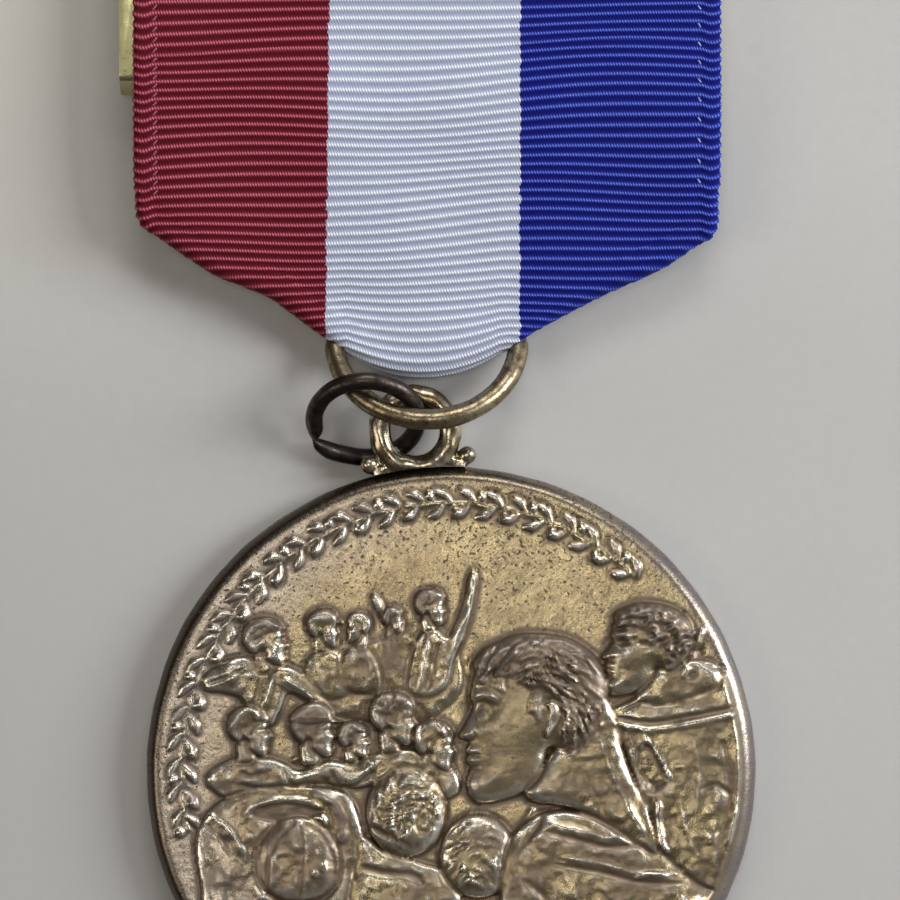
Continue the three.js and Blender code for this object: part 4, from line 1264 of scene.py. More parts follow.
    # forelock and the strands before the ear
    for k in range(9):
        a = f1(0.02 + 0.030 * k, 0.90 - 0.012 * k)
        b = f1(-0.010 + 0.030 * k, 0.83 - 0.010 * k)
        c = f1(0.020 + 0.030 * k, 0.765 - 0.008 * k)
        R.stroke([a, b, c], 2.6, 0.10, dark=-0.25)
        R.stroke([(a[0] + 3.5, a[1]), (b[0] + 3.5, b[1]), (c[0] + 3.5, c[1])], 1.3, -0.10, dark=0.5)
    for k in range(6):
        a = f1(0.455 + 0.028 * k, 0.70)
        b = f1(0.450 + 0.026 * k, 0.62)
        c = f1(0.468 + 0.022 * k, 0.53 + 0.02 * abs(k - 2.5))
        if k < 3:
            R.stroke([a, b, c], 2.0, 0.10, dark=-0.55)
    for k in range(7):
        a = f1(0.70 + 0.034 * k, 0.66)
        b = f1(0.72 + 0.030 * k, 0.56)
        c = f1(0.705 + 0.020 * k, 0.43 + 0.012 * k)
        R.stroke([a, b, c], 2.4, 0.11, dark=-0.35)
        R.stroke([(a[0] + 3, a[1]), (b[0] + 3, b[1]), (c[0] + 3, c[1])], 1.1, -0.09, dark=0.5)

    # restless surface of the modelled parts
    fig = np.clip(blur(R.fig, 3), 0, 1)
    fig = fig * (1 - 0.72 * R.calm)
    R.H += fig * (0.085 * value_noise(n, 16, 8) + 0.10 * value_noise(n, 34, 9) + 0.050 * value_noise(n, 8, 10))
    R.dark += fig * (0.20 + 0.9 * value_noise(n, 40, 61) + 0.5 * value_noise(n, 14, 62))
    R.H += 0.012 * value_noise(n, 5, 12) + 0.010 * value_noise(n, 3, 13)


draw_relief()
R.H = 0.55 * R.H + 0.45 * blur(R.H, 1)
R.cavity = np.clip((blur(R.H, 7) - R.H) * 5.0 + 0.5, 0, 1)
R.dark = np.clip(blur(R.dark, 1), -1, 1.2)


def sample(grid, x, y):
    fx = np.clip((x + R.half) / R.mm - 0.5, 0, R.n - 1.001)
    fy = np.clip((y + R.half) / R.mm - 0.5, 0, R.n - 1.001)
    i, j = fx.astype(int), fy.astype(int)
    a, b = fx - i, fy - j
    return (grid[j, i] * (1 - a) * (1 - b) + grid[j, i + 1] * a * (1 - b) + grid[j + 1, i] * (1 - a) * b + grid[j + 1, i + 1] * a * b)


def disc_grid(n, profile, flat, relief=None, flip=False):
    """Round cap from a square grid: ring k of it goes to arc length s along profile [(r, z)]."""
    k = n // 2
    i, j = np.meshgrid(np.arange(-k, k + 1), np.arange(-k, k + 1), indexing="ij")
    a, b = i / k, j / k
    big = np.maximum(np.abs(a), np.abs(b))
    with np.errstate(divide="ignore", invalid="ignore"):
        horiz = np.abs(a) >= np.abs(b)
        ang = np.where(horiz, np.where(a == 0, 0, (np.pi / 4) * b / np.where(a == 0, 1, a)),
                       np.pi / 2 - (np.pi / 4) * a / np.where(b == 0, 1, b))
        ang = np.where(horiz, np.where(a < 0, ang + np.pi, ang), np.where(b < 0, ang + np.pi, ang))
    prof = np.array(profile, float)
    seg = np.r_[0, np.cumsum(np.hypot(*np.diff(prof, axis=0).T))]
    s = big * (flat + seg[-1])
    r = np.where(s < flat, s, np.interp(s - flat, seg, prof[:, 0]))
    z = np.where(s < flat, prof[0, 1], np.interp(s - flat, seg, prof[:, 1]))
    x, y = r * np.cos(ang), r * np.sin(ang)
    # worn, slightly uneven edge
    u = np.clip((r - 17.2) / 1.0, 0, 1)
    wob = 0.028 * np.sin(3 * ang + 1) + 0.018 * np.sin(7 * ang + 2.2) + 0.012 * np.sin(17 * ang) + 0.010 * np.sin(41 * ang + 1)
    x, y = x * (1 + u * wob / 18.2), y * (1 + u * wob / 18.2)
    cav = np.full(x.shape, 0.5)
    dark = np.zeros(x.shape)
    if relief is not None:
        fade = 1 - smoothstep(17.05, 17.6, r)
        h = sample(R.H, x, y)
        z = z + h * fade
        cav = sample(R.cavity, x, y) * fade + 0.5 * (1 - fade)
        dark = sample(R.dark, x, y) * fade
    m = 2 * k + 1
    ii, jj = np.meshgrid(np.arange(m - 1), np.arange(m - 1), indexing="ij")
    q = np.stack([ii * m + jj, (ii + 1) * m + jj, (ii + 1) * m + jj + 1, ii * m + jj + 1], -1).reshape(-1, 4)
    if flip:
        q = q[:, ::-1]
    rim = np.concatenate([[p * m for p in range(m)], [(m - 1) * m + p for p in range(1, m)],
                          [p * m + m - 1 for p in range(m - 2, -1, -1)], [p for p in range(m - 2, 0, -1)]]).astype(int)
    return np.stack([x + DX, y + DY, z], -1).reshape(-1, 3), q, rim, cav.ravel(), dark.ravel()


def disc_piece(name, n, profile, flat, relief, z_cap, flip, relief_fn=None):
    v, q, rim, cav, dark = disc_grid(n, profile, flat, relief, flip)
    if relief_fn is not None:
        x, y = v[:, 0] - DX, v[:, 1] - DY
        h, c = relief_fn(x, y)
        v[:, 2] += h
        cav = c
    base = len(v)
    inner = v[rim].copy()
    inner[:, 0] = DX + (inner[:, 0] - DX) * (17.9 / 18.2)
    inner[:, 1] = DY + (inner[:, 1] - DY) * (17.9 / 18.2)
    inner2 = inner.copy()
    inner2[:, 2] = z_cap
    centre = np.array([[DX, DY, z_cap]])
    v = np.concatenate([v, inner, inner2, centre])
    m = len(rim)
    k = np.arange(m)
    k2 = (k + 1) % m
    sides = np.concatenate([np.stack([rim[k], rim[k2], base + k2, base + k], -1),
                            np.stack([base + k, base + k2, base + m + k2, base + m + k], -1)])
    fan = np.stack([base + m + k, base + m + k2, np.full(m, base + 2 * m)], -1)
    faces = [tuple(f) for f in np.concatenate([q, sides])] + [tuple(f) for f in fan]
    extra = 2 * m + 1
    ob = new_object(name, v, faces, attributes={"cavity": np.r_[cav, np.full(extra, 0.5)], "dark": np.r_[dark, np.zeros(extra)]})
    outward(ob)
    ob.data.set_sharp_from_angle(angle=math.radians(62))
    return ob


edge_front = [(17.28, FIELD), (17.50, 2.335), (17.70, 2.26), (17.88, 2.11), (18.03, 1.90), (18.13, 1.68), (18.19, 1.45), (18.20, 1.3), (18.20, 0.92)]
obverse = disc_piece("medal_obverse", 300, edge_front, 17.28, True, 1.05, False)


def reverse_relief(x, y):
    """Plain rim, recessed field and a laurel wreath, all behind the z = 0 plane."""
    r = np.hypot(x, y)
    a = np.degrees(np.arctan2(y, x))
    field = 0.20 * (1 - smoothstep(16.25, 16.75, r))
    leaf = np.zeros_like(r)
    vein = np.zeros_like(r)
    for s, off in ((1, 0.0), (-1, 4.2)):
        side = np.sign(x) + (x == 0)
        up = (90 - a * 1.0) if False else np.degrees(np.arctan2(np.abs(x), -y))
        u = ((up + off) % 8.4) / 8.4
        rr = 13.2 + s * (0.25 + 1.35 * u)
        w = 0.62 * np.sin(np.pi * np.clip(u, 0, 1)) ** 0.8
        on = (up > 12) & (up < 168)
        d = w - np.abs(r - rr)
        leaf = np.maximum(leaf, smoothstep(0, 0.42, d) * on)
        vein = np.maximum(vein, np.exp(-((r - rr) / 0.09) ** 2) * (w > 0.2) * on)
    stem = np.exp(-((r - 13.2) / 0.22) ** 2) * (np.degrees(np.arctan2(np.abs(x), -y)) < 170)
    h = field * (1 - 0.85 * np.maximum(leaf, 0.6 * stem)) + 0.05 * vein * (leaf > 0.3)
    h = np.where(r < 16.9, h, 0)
    h = h + 0.015 * sample(value_field, x, y) * (r < 16.2)
    return h, np.clip(0.5 + 0.8 * (h - 0.1) * (r < 16.8), 0, 1)


value_field = value_noise(R.n, 20, 77)
edge_back = [(17.3, 0.0), (17.75, 0.03), (17.95, 0.10), (18.08, 0.22), (18.17, 0.38), (18.20, 0.55), (18.20, 0.92)]
reverse = disc_piece("medal_reverse", 200, edge_back, 17.3, None, 1.10, True, reverse_relief)


def bronze_material():
    m, nt, b = material("medal_bronze_aged")
    n = N(nt)
    c = n.coords()
    cav, dark = n.attr("cavity"), n.attr("dark")
    broad = n.noise(c, 0.16, 4, 0.55)
    mid = n.noise(c, 0.9, 5, 0.6)
    fine = n.noise(c, 4.5, 5, 0.65)
    grit = n.noise(c, 12.0, 3, 0.6)
    pos = nt.nodes.new("ShaderNodeSeparateXYZ")
    nt.links.new(c, pos.inputs[0])
    x, y = pos.outputs[0], pos.outputs[1]
    # radius from the disc's middle
    dx = n.math("SUBTRACT", x, DX - CX)
    dy = n.math("SUBTRACT", y, DY - CY)
    rad = n.math("SQRT", n.math("ADD", n.math("MULTIPLY", dx, dx), n.math("MULTIPLY", dy, dy)))
    gold = n.mix(n.grey(broad, 0.35, 0.65), lin(144, 128, 99), lin(174, 158, 122))
    gold = n.mix(n.grey(mid, 0.42, 0.70, 0, 0.6), gold, lin(122, 105, 84))
    # painted shade: greyer and browner towards the left and the foot, away from the light
    west = n.math("ADD", n.math("MULTIPLY", dx, -1.0), n.math("MULTIPLY", dy, -0.35))
    painted_shade_west = n.math("MULTIPLY", n.grey(west, 2.0, 17.0), n.grey(mid, 0.25, 0.65, 1.0, 0.6))
    gold = n.mix(n.math("MULTIPLY", painted_shade_west, 0.42), gold, lin(118, 106, 95))
    # greyer border round the left
    band_ = n.math("MULTIPLY", n.grey(rad, 12.5, 15.6), n.grey(dx, 2.0, -10.0))
    gold = n.mix(n.math("MULTIPLY", band_, 0.7), gold, lin(166, 155, 143))
    # painted highlight: silvery sheen towards the right rim, the side the light comes from; painted shade: dark round
    # the left of the edge
    painted_rim_highlight = n.grey(rad, 16.9, 18.1)
    east = n.grey(dx, -6.0, 14.0)
    col = n.mix(n.math("MULTIPLY", n.math("MULTIPLY", painted_rim_highlight, east), n.grey(mid, 0.35, 0.6, 0.5, 1.0)), gold, lin(140, 132, 138))
    painted_rim_shade = n.math("MULTIPLY", n.grey(rad, 17.15, 17.7), n.grey(dx, 9.0, -6.0))
    col = n.mix(n.math("MULTIPLY", painted_rim_shade, 0.88), col, lin(76, 64, 56))
    # painted highlight: pale colour on the raised points of the relief
    painted_highlight_raised = n.grey(cav, 0.455, 0.22)
    col = n.mix(n.math("MULTIPLY", painted_highlight_raised, 0.8), col, lin(222, 214, 200))
    # brown-grey tarnish in recesses and over the darkened figures
    deep = n.grey(n.math("ADD", cav, n.math("MULTIPLY", n.math("SUBTRACT", fine, 0.5), 0.34)), 0.54, 0.82)
    cloud = n.math("ADD", dark, n.math("MULTIPLY", n.math("SUBTRACT", mid, 0.5), 0.9))
    tarn = n.math("MAXIMUM", deep, n.grey(cloud, 0.12, 1.02))
    col = n.mix(n.math("MULTIPLY", tarn, 0.84), col, lin(103, 87, 75))
    # specks, dense towards the upper left
    spot = n.noise(c, 4.6, 2, 0.5)
    where = n.math("MULTIPLY", n.grey(n.math("SUBTRACT", n.math("MULTIPLY", dy, 0.9), n.math("MULTIPLY", dx, 0.35)), -4.0, 11.0), n.grey(broad, 0.30, 0.62, 0.35, 1.0))
    thr = n.grey(where, 0, 1, 0.75, 0.590)
    spk = n.math("MULTIPLY", n.math("GREATER_THAN", spot, thr), n.grey(cav, 0.25, 0.45))
    spot2 = n.noise(c, 2.4, 4, 0.6)
    spk2 = n.grey(spot2, 0.63, 0.69)
    col = n.mix(n.math("MULTIPLY", spk, 0.8), col, lin(58, 46, 38))
    col = n.mix(n.math("MULTIPLY", spk2, 0.5), col, lin(80, 64, 50))
    n.put(b.inputs["Base Color"], col)
    n.put(b.inputs["Metallic"], n.grey(n.math("ADD", tarn, n.math("MULTIPLY", spk, 0.8)), 0.0, 1.0, 0.97, 0.62))
    rough = n.math("ADD", n.grey(tarn, 0, 1, 0.25, 0.37), n.math("MULTIPLY", n.math("SUBTRACT", fine, 0.4), 0.16))
    rough = n.math("SUBTRACT", rough, n.math("MULTIPLY", painted_highlight_raised, 0.06))
    rough = n.math("ADD", rough, n.math("MULTIPLY", spk, 0.2))
    n.put(b.inputs["Roughness"], rough)
    h = n.math("ADD", n.math("MULTIPLY", fine, 1.0), n.math("MULTIPLY", grit, 0.45))
    h = n.math("ADD", h, n.math("MULTIPLY", mid, 2.2))
    h = n.math("SUBTRACT", h, n.math("MULTIPLY", spk, 0.5))
    n.put(b.inputs["Normal"], n.bump(h, 0.30, 0.05))
    return m


bronze = bronze_material()
for ob in (obverse, reverse):
    give(ob, bronze)
    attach(ob, "medal")
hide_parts("medal_disc")
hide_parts("medal_disc")


# ------------------------------------------------------------------ rings
def wire_section(n, r, sides, seed, rough=0.012):
    """Round sections with slow changes of radius, so that a wire isn't a perfect tube."""
    r_ = np.random.default_rng(seed)
    th = np.linspace(0, 2 * np.pi, sides, endpoint=False)
    t = np.linspace(0, 2 * np.pi, n, endpoint=False)
    rad = np.full((n, sides), r)
    for k in range(1, 9):
        rad += rough / math.sqrt(k) * np.sin(k * 2 * t + r_.uniform(0, 6))[:, None] * np.cos((k % 3) * th + r_.uniform(0, 6))[None]
    return np.stack([rad * np.cos(th), rad * np.sin(th)], -1)


def ribbon_ring():
    t = math.radians(32.55)
    rr, leg, zc, corner = 5.48, 0.447, 1.3, 0.9
    flat = [(x, 0.0) for x in np.linspace(-(rr - corner), rr - corner, 26)]
    p0, p1 = np.array([rr - corner, 0.0]), np.array([rr, 0.0])
    a0 = math.pi / 2 - 0.09
    p2 = np.array([rr * math.sin(a0), leg + rr * math.cos(a0)])
    bez = [tuple((1 - u) ** 2 * p0 + 2 * u * (1 - u) * p1 + u * u * p2) for u in np.linspace(0, 1, 12)[1:-1]]
    bow = [(rr * math.sin(a), leg + rr * math.cos(a)) for a in np.linspace(a0, -a0, 130)]
    left = [(-x, y) for x, y in bez[::-1]]
    loop = np.array(flat + bez + bow + left)
    # even spacing and a hand-closed unevenness
    d = np.r_[0, np.cumsum(np.hypot(*np.diff(np.r_[loop, loop[:1]], axis=0).T))]
    s = np.linspace(0, d[-1], 241)[:-1]
    x = np.interp(s, d, np.r_[loop[:, 0], loop[0, 0]])
    q = np.interp(s, d, np.r_[loop[:, 1], loop[0, 1]])
    path = np.stack([x, -q * math.cos(t), zc + q * math.sin(t)], -1)
    nrm = np.array([0, math.sin(t), math.cos(t)])
    tan = np.roll(path, -1, 0) - np.roll(path, 1, 0)
    tan /= np.linalg.norm(tan, axis=1)[:, None]
    a = np.repeat(nrm[None], len(path), 0)
    b = np.cross(tan, a)
    ob = sweep("ribbon_ring_wire", path, wire_section(len(path), 0.615, 28, 3), closed=True, frames=(a, b))
    return ob


def jump_ring():
    t, yaw = math.radians(43.13), math.radians(1.88)
    n = 170
    u = np.linspace(0, 1, n)
    a = np.radians(208.5 + (360 + 198 - 208.5) * u)
    r = 3.086 + 0.60 * np.clip(1 - u / 0.13, 0, 1) ** 1.6
    p = np.stack([r * np.cos(a), r * np.sin(a) * math.cos(t), r * np.sin(a) * math.sin(t)], -1)
    rot = np.array([[math.cos(yaw), -math.sin(yaw), 0], [math.sin(yaw), math.cos(yaw), 0], [0, 0, 1]])
    p = p @ rot.T + np.array([-3.612, -4.977, 2.682])
    nrm = rot @ np.array([0, -math.sin(t), math.cos(t)])
    tan = np.gradient(p, axis=0)
    tan /= np.linalg.norm(tan, axis=1)[:, None]
    A = np.repeat(nrm[None], n, 0)
    B = np.cross(tan, A)
    sec = wire_section(n, 0.525, 26, 5, 0.010)
    # nipped ends: slanted faces, with the wire drawn in a little
    for k in range(8):
        sec[k] *= 0.42 + 0.58 * (k / 8) ** 0.6
        sec[-1 - k] *= 0.86 + 0.14 * (k / 8) ** 0.6
    path = np.repeat(p[:, None], 26, 1)
    ob_v = p[:, None] + sec[..., :1] * A[:, None] + sec[..., 1:] * B[:, None]
    slant0 = (sec[:, :, 1] * 1.05 + sec[:, :, 0] * 0.30)
    for k in range(10):
        w = (1 - k / 10) ** 1.0
        ob_v[k] += tan[k] * (slant0[k][:, None] * w)
        ob_v[-1 - k] += tan[-1 - k] * (slant0[-1 - k][:, None] * 0.55 * w)
    m = 26
    verts = ob_v.reshape(-1, 3)
    i, j = np.meshgrid(np.arange(n - 1), np.arange(m), indexing="ij")
    q = np.stack([i * m + j, i * m + (j + 1) % m, (i + 1) * m + (j + 1) % m, (i + 1) * m + j], -1).reshape(-1, 4)
    faces = [tuple(f) for f in q] + [tuple(range(m))[::-1], tuple((n - 1) * m + k for k in range(m))]
    ob = outward(new_object("jump_ring_wire", verts, faces))
    return bevelled(ob, 0.05, 2, 50)


def ring_material(name, base, worn, dark, roughness, streak=0.5, bump=0.35):
    m, nt, b = material(name)
    n = N(nt)
    c = n.coords()
    broad = n.noise(c, 0.5, 3, 0.55)
    mid = n.noise(c, 2.0, 5, 0.6)
    fine = n.noise(n.vmul(c, (1.0, 1.0, 1.6)), 9.0, 4, 0.6)
    col = n.mix(n.grey(broad, 0.38, 0.62), base, worn)
    col = n.mix(n.grey(mid, 0.50, 0.66, 0, streak), col, dark)
    pits = n.voronoi(c, 5.0, "F1", "Distance")
    pit = n.math("MULTIPLY", n.grey(pits, 0.16, 0.06), n.grey(mid, 0.45, 0.6))
    col = n.mix(n.math("MULTIPLY", pit, 0.8), col, dark)
    n.put(b.inputs["Base Color"], col)
    b.inputs["Metallic"].default_value = 0.96
    n.put(b.inputs["Roughness"], n.math("ADD", n.grey(mid, 0.35, 0.68, roughness - 0.07, roughness + 0.13), n.math("MULTIPLY", n.math("SUBTRACT", fine, 0.5), 0.15)))
    h = n.math("SUBTRACT", n.math("ADD", n.math("MULTIPLY", mid, 0.8), n.math("MULTIPLY", fine, 0.5)), pit)
    n.put(b.inputs["Normal"], n.bump(h, bump, 0.05))
    return m


d_ring = give(ribbon_ring(), ring_material("antique_ring_brass", lin(158, 145, 118), lin(132, 116, 90), lin(74, 61, 49), 0.28, 0.85))
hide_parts("ribbon_ring")
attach(d_ring, "ribbon_ring")
j_ring = give(jump_ring(), ring_material("dark_ring_steel", lin(84, 74, 68), lin(62, 54, 50), lin(34, 28, 26), 0.34, 0.7, 0.5))
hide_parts("jump_ring")
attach(j_ring, "jump_ring")


# ------------------------------------------------------------------ eyelet
def eyelet():
    turn = 95.9

    def raw(name, v, f):
        me = bpy.data.meshes.new(name)
        me.from_pydata([tuple(map(float, p)) for p in v], [], [tuple(map(int, q)) for q in f])
        ob = bpy.data.objects.new(name, me)
        scene.collection.objects.link(ob)
        return outward(ob)

    def torus(cx, cy, cz, rr, w, h, n=72, m=20):
        v, f = [], []
        for i in range(n):
            a = 2 * math.pi * i / n
            flat = 1.0
            for j in range(m):
                b = 2 * math.pi * j / m
                x = rr + w * math.cos(b)
                v.append((cx + x * math.cos(a), cy + x * math.sin(a), cz + h * math.sin(b) * flat))
        for i in range(n):
            for j in range(m):
                i2, j2 = (i + 1) % n, (j + 1) % m
                f.append((i * m + j, i2 * m + j, i2 * m + j2, i * m + j2))
        return raw("t", v, f)

    def slab(outer, inner, a0, a1, z0, z1, n=24):
        v, f = [], []
        for i in range(n + 1):
            t = i / n
            a = math.radians(turn + a0 + (a1 - a0) * t)
            for r, z in ((inner(t), z0), (outer(t), z0), (outer(t), z1), (inner(t), z1)):
                v.append((DX + r * math.cos(a), DY + r * math.sin(a), z))
        for i in range(n):
            for j in range(4):
                f.append((i * 4 + j, (i + 1) * 4 + j, (i + 1) * 4 + (j + 1) % 4, i * 4 + (j + 1) % 4))
        f += [(0, 1, 2, 3), tuple(n * 4 + k for k in (3, 2, 1, 0))]
        return raw("s", v, f)

    def ball(cx, cy, cz, r, sx=1.0, sy=1.0, sz=1.0):
        bm = bmesh.new()
        bmesh.ops.create_uvsphere(bm, u_segments=20, v_segments=12, radius=r)
        me = bpy.data.meshes.new("b")
        bm.to_mesh(me)
        bm.free()
        for w in me.vertices:
            w.co = (w.co.x * sx + cx, w.co.y * sy + cy, w.co.z * sz + cz)
        ob = bpy.data.objects.new("b", me)
        scene.collection.objects.link(ob)
        return ob

    def polar(a, r):
        return DX + r * math.cos(math.radians(turn + a)), DY + r * math.sin(math.radians(turn + a))

    ex, ey, ez = -0.692, -5.678, 2.06
    bits = [torus(ex, ey, ez, 2.10, 0.68, 0.58)]
    bits.append(slab(lambda t: DR + 0.46 + 0.10 * math.sin(math.pi * t), lambda t: DR - 0.25, -8.6, 8.6, 1.05, 2.26))
    # webs from the ring down to the foot on both sides
    for s in (-1, 1):
        bits.append(slab(lambda t, s=s: DR + 0.5 + 1.25 * ((1 - t) if s > 0 else t) ** 1.5, lambda t: DR + 0.2,
                         3.0 if s > 0 else -6.6, 6.6 if s > 0 else -3.0, 1.35, 2.35))
    for a, r, q in ((8.9, 0.56, 1.0), (-8.9, 0.55, 1.0)):
        x, y = polar(a, DR + 0.72)
        bits.append(ball(x, y, 1.85, r, 1.0, 1.0, 1.0))
    for a, dr, r in ((6.9, 0.62, 0.34), (-7.1, 0.60, 0.32), (8.0, 0.32, 0.36), (-8.3, 0.30, 0.33)):
        x, y = polar(a, DR + dr)
        bits.append(ball(x, y, 1.8, r))
    ob = join(bits, "eyelet_cast")
    m = ob.modifiers.new("r", "REMESH")
    m.mode = "VOXEL"
    m.voxel_size = 0.055
    apply_modifiers(ob)
    m = ob.modifiers.new("s", "SMOOTH")
    m.factor = 0.5
    m.iterations = 7
    apply_modifiers(ob)
    me = ob.data
    v = np.empty(len(me.vertices) * 3, np.float32)
    me.vertices.foreach_get("co", v)
    v = v.reshape(-1, 3).astype(float)
    nr = np.empty(len(me.vertices) * 3, np.float32)
    me.vertices.foreach_get("normal", nr)
    nr = nr.reshape(-1, 3)
    w = 0.030 * np.sin(v[:, 0] * 2.6 + 1) * np.sin(v[:, 1] * 2.9) + 0.012 * np.sin(v[:, 0] * 6.3 + v[:, 1] * 4.1)
    v = v + nr * w[:, None]
    # open hole
    hd = np.hypot(v[:, 0] - ex, v[:, 1] - ey)
    hk = np.where(hd < 1.46, 1.46 / np.maximum(hd, 0.2), 1.0)
    v[:, 0] = ex + (v[:, 0] - ex) * hk
    v[:, 1] = ey + (v[:, 1] - ey) * hk
    # the seat on the disc stays a hair clear of it
    rr = np.hypot(v[:, 0] - DX, v[:, 1] - DY)
    lim = DR + 0.04
    k = np.where(rr < lim, lim / rr, 1)
    v[:, 0] = DX + (v[:, 0] - DX) * k
    v[:, 1] = DY + (v[:, 1] - DY) * k
    me.vertices.foreach_set("co", to_row(v).astype(np.float32).ravel())
    me.polygons.foreach_set("use_smooth", np.ones(len(me.polygons), dtype=bool))
    me.update()
    return ob


def eyelet_material():
    m, nt, b = material("eyelet_silvered")
    n = N(nt)
    c = n.coords()
    broad = n.noise(c, 0.7, 3, 0.5)
    mid = n.noise(c, 1.7, 4, 0.55)
    fine = n.noise(c, 9.0, 4, 0.6)
    col = n.mix(n.grey(broad, 0.40, 0.60), lin(190, 178, 156), lin(132, 115, 88))
    col = n.mix(n.grey(mid, 0.50, 0.66, 0, 0.7), col, lin(62, 50, 42))
    n.put(b.inputs["Base Color"], col)
    b.inputs["Metallic"].default_value = 0.98
    n.put(b.inputs["Roughness"], n.grey(mid, 0.42, 0.66, 0.17, 0.36))
    n.put(b.inputs["Normal"], n.bump(n.math("ADD", n.math("MULTIPLY", mid, 1.0), n.math("MULTIPLY", fine, 0.3)), 0.30, 0.05))
    return m


eye = give(eyelet(), eyelet_material())
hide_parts("suspension_eyelet")
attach(eye, "medal")


# ------------------------------------------------------------------ stitches
def tube_on(name, paths, r, sides=8):
    parts = []
    th = np.linspace(0, 2 * np.pi, sides, endpoint=False)
    verts, faces, base = [], [], 0
    for p in paths:
        p = np.asarray(p, float)
        n = len(p)
        t = np.gradient(p, axis=0)
        t /= np.linalg.norm(t, axis=1)[:, None]
        a = np.cross(t, np.array([0.0, 0.0, 1.0]))
        a /= np.maximum(np.linalg.norm(a, axis=1), 1e-6)[:, None]
        b = np.cross(t, a)
        rad = r * np.sqrt(np.clip(1 - (np.linspace(-1, 1, n)) ** 6, 0.15, 1))
        v = p[:, None] + (np.cos(th)[None, :, None] * a[:, None] + np.sin(th)[None, :, None] * b[:, None]) * rad[:, None, None]
        verts.append(v.reshape(-1, 3))
        for i in range(n - 1):
            for j in range(sides):
                faces.append((base + i * sides + j, base + i * sides + (j + 1) % sides,
                              base + (i + 1) * sides + (j + 1) % sides, base + (i + 1) * sides + j))
        faces.append(tuple(base + k for k in range(sides))[::-1])
        faces.append(tuple(base + (n - 1) * sides + k for k in range(sides)))
        base += n * sides
    return outward(new_object(name, np.concatenate(verts), faces))


def thread_material(name, a, bcol):
    m, nt, b = material(name)
    n = N(nt)
    c = n.coords()
    w = nt.nodes.new("ShaderNodeTexWave")
    w.wave_type = "BANDS"
    w.bands_direction = "DIAGONAL"
    nt.links.new(c, w.inputs["Vector"])
    w.inputs["Scale"].default_value = 3.2
    w.inputs["Distortion"].default_value = 1.2
    f = n.noise(c, 9.0, 3)
    tone = n.math("MULTIPLY", w.outputs["Fac"], n.grey(f, 0.3, 0.7, 0.7, 1.1))
    n.put(b.inputs["Base Color"], n.mix(tone, a, bcol))
    n.put(b.inputs["Roughness"], n.grey(f, 0.3, 0.7, 0.55, 0.8))
    b.inputs["Sheen Weight"].default_value = 0.3
    n.put(b.inputs["Normal"], n.bump(tone, 0.5, 0.03))
    return m


seam_paths = []
r_ = np.random.default_rng(19)
y0 = 10.4
for k in range(20):
    xc = -15.4 + 1.62 * k
    L = 1.10 + r_.uniform(-0.06, 0.06)
    yy = y0 + r_.uniform(-0.05, 0.05)
    tt = np.linspace(-1, 1, 11)
    zs = seam_z + 0.26 * np.clip(np.abs(tt) - 0.55, 0, 1) / 0.45 * 1.0
    seam_paths.append(np.stack([xc + L / 2 * tt + RX, np.full(11, yy) + 0.02 * tt, zs], -1))
seam = give(tube_on("ribbon_seam_stitches", seam_paths, 0.12), thread_material("seam_thread", lin(168, 162, 150), lin(232, 228, 218)))
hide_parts("ribbon_seam")
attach(seam, "ribbon")

for sgn, col_i, tone_a, tone_b in ((-1, tick_cols[0], (104, 30, 52), (184, 96, 122)), (1, tick_cols[1], (92, 102, 170), (170, 180, 228))):
    ticks = []
    row = tick_row0
    while row < tick_row1:
        p0 = ribbon_top[row - 2, col_i]
        p1 = ribbon_top[row + 2, col_i]
        mid = ribbon_top[row, col_i] + ribbon_nrm[row, col_i] * 0.03
        tt = np.linspace(-1, 1, 7)[:, None]
        pts = mid + (p1 - p0) * 0.36 * tt - ribbon_nrm[row, col_i] * 0.07 * tt ** 4 + np.array([-0.16 * sgn, 0, 0]) * tt * (1 if sgn < 0 else 0.6)
        ticks.append(pts)
        row += 5 if sgn < 0 else 10
    catch = give(tube_on("ribbon_catch_thread_" + ("a" if sgn < 0 else "b"), ticks, 0.058, 6),
                 thread_material("catch_thread", lin(*tone_a), lin(*tone_b)))
    row_point(0, 14.3, 4.1)
    row_point(0, 11.9, 3.9)
    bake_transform(catch)


# ------------------------------------------------------------------ brooch
def metal_material(name, base, worn, dark, rough, tarnish=0.45, brushed=0.0, axis=(1.0, 1.0, 1.0), bump=0.3):
    m, nt, b = material(name)
    n = N(nt)
    c = n.coords()
    broad = n.noise(c, 0.25, 3, 0.5)
    mid = n.noise(c, 1.3, 5, 0.6)
    fine = n.noise(c, 8.0, 4, 0.6)
    line = n.noise(n.vmul(c, axis), 6.0, 3, 0.55)
    scratch = n.noise(n.vmul(c, (axis[1] * 0.6 + 0.4, axis[0] * 0.6 + 0.4, 1.0)), 3.0, 2, 0.5, 0.4)
    col = n.mix(n.grey(broad, 0.35, 0.65), base, worn)
    col = n.mix(n.grey(mid, 0.55, 0.72, 0, tarnish), col, dark)
    edge = nt.nodes.new("ShaderNodeNewGeometry").outputs["Pointiness"]
    col = n.mix(n.grey(edge, 0.50, 0.56, 0, 0.5), col, worn)
    n.put(b.inputs["Base Color"], col)
    b.inputs["Metallic"].default_value = 1.0
    r = n.math("ADD", n.grey(mid, 0.3, 0.7, rough - 0.06, rough + 0.10), n.math("MULTIPLY", n.math("SUBTRACT", line, 0.5), 0.10 + brushed * 0.2))
    r = n.math("ADD", r, n.grey(scratch, 0.66, 0.70, 0, 0.10))
    n.put(b.inputs["Roughness"], r)
    h = n.math("ADD", n.math("MULTIPLY", fine, 0.5), n.math("MULTIPLY", line, 0.4 + brushed))
    h = n.math("SUBTRACT", h, n.grey(scratch, 0.68, 0.71, 0, 0.6))
    n.put(b.inputs["Normal"], n.bump(h, bump, 0.03))
    return m


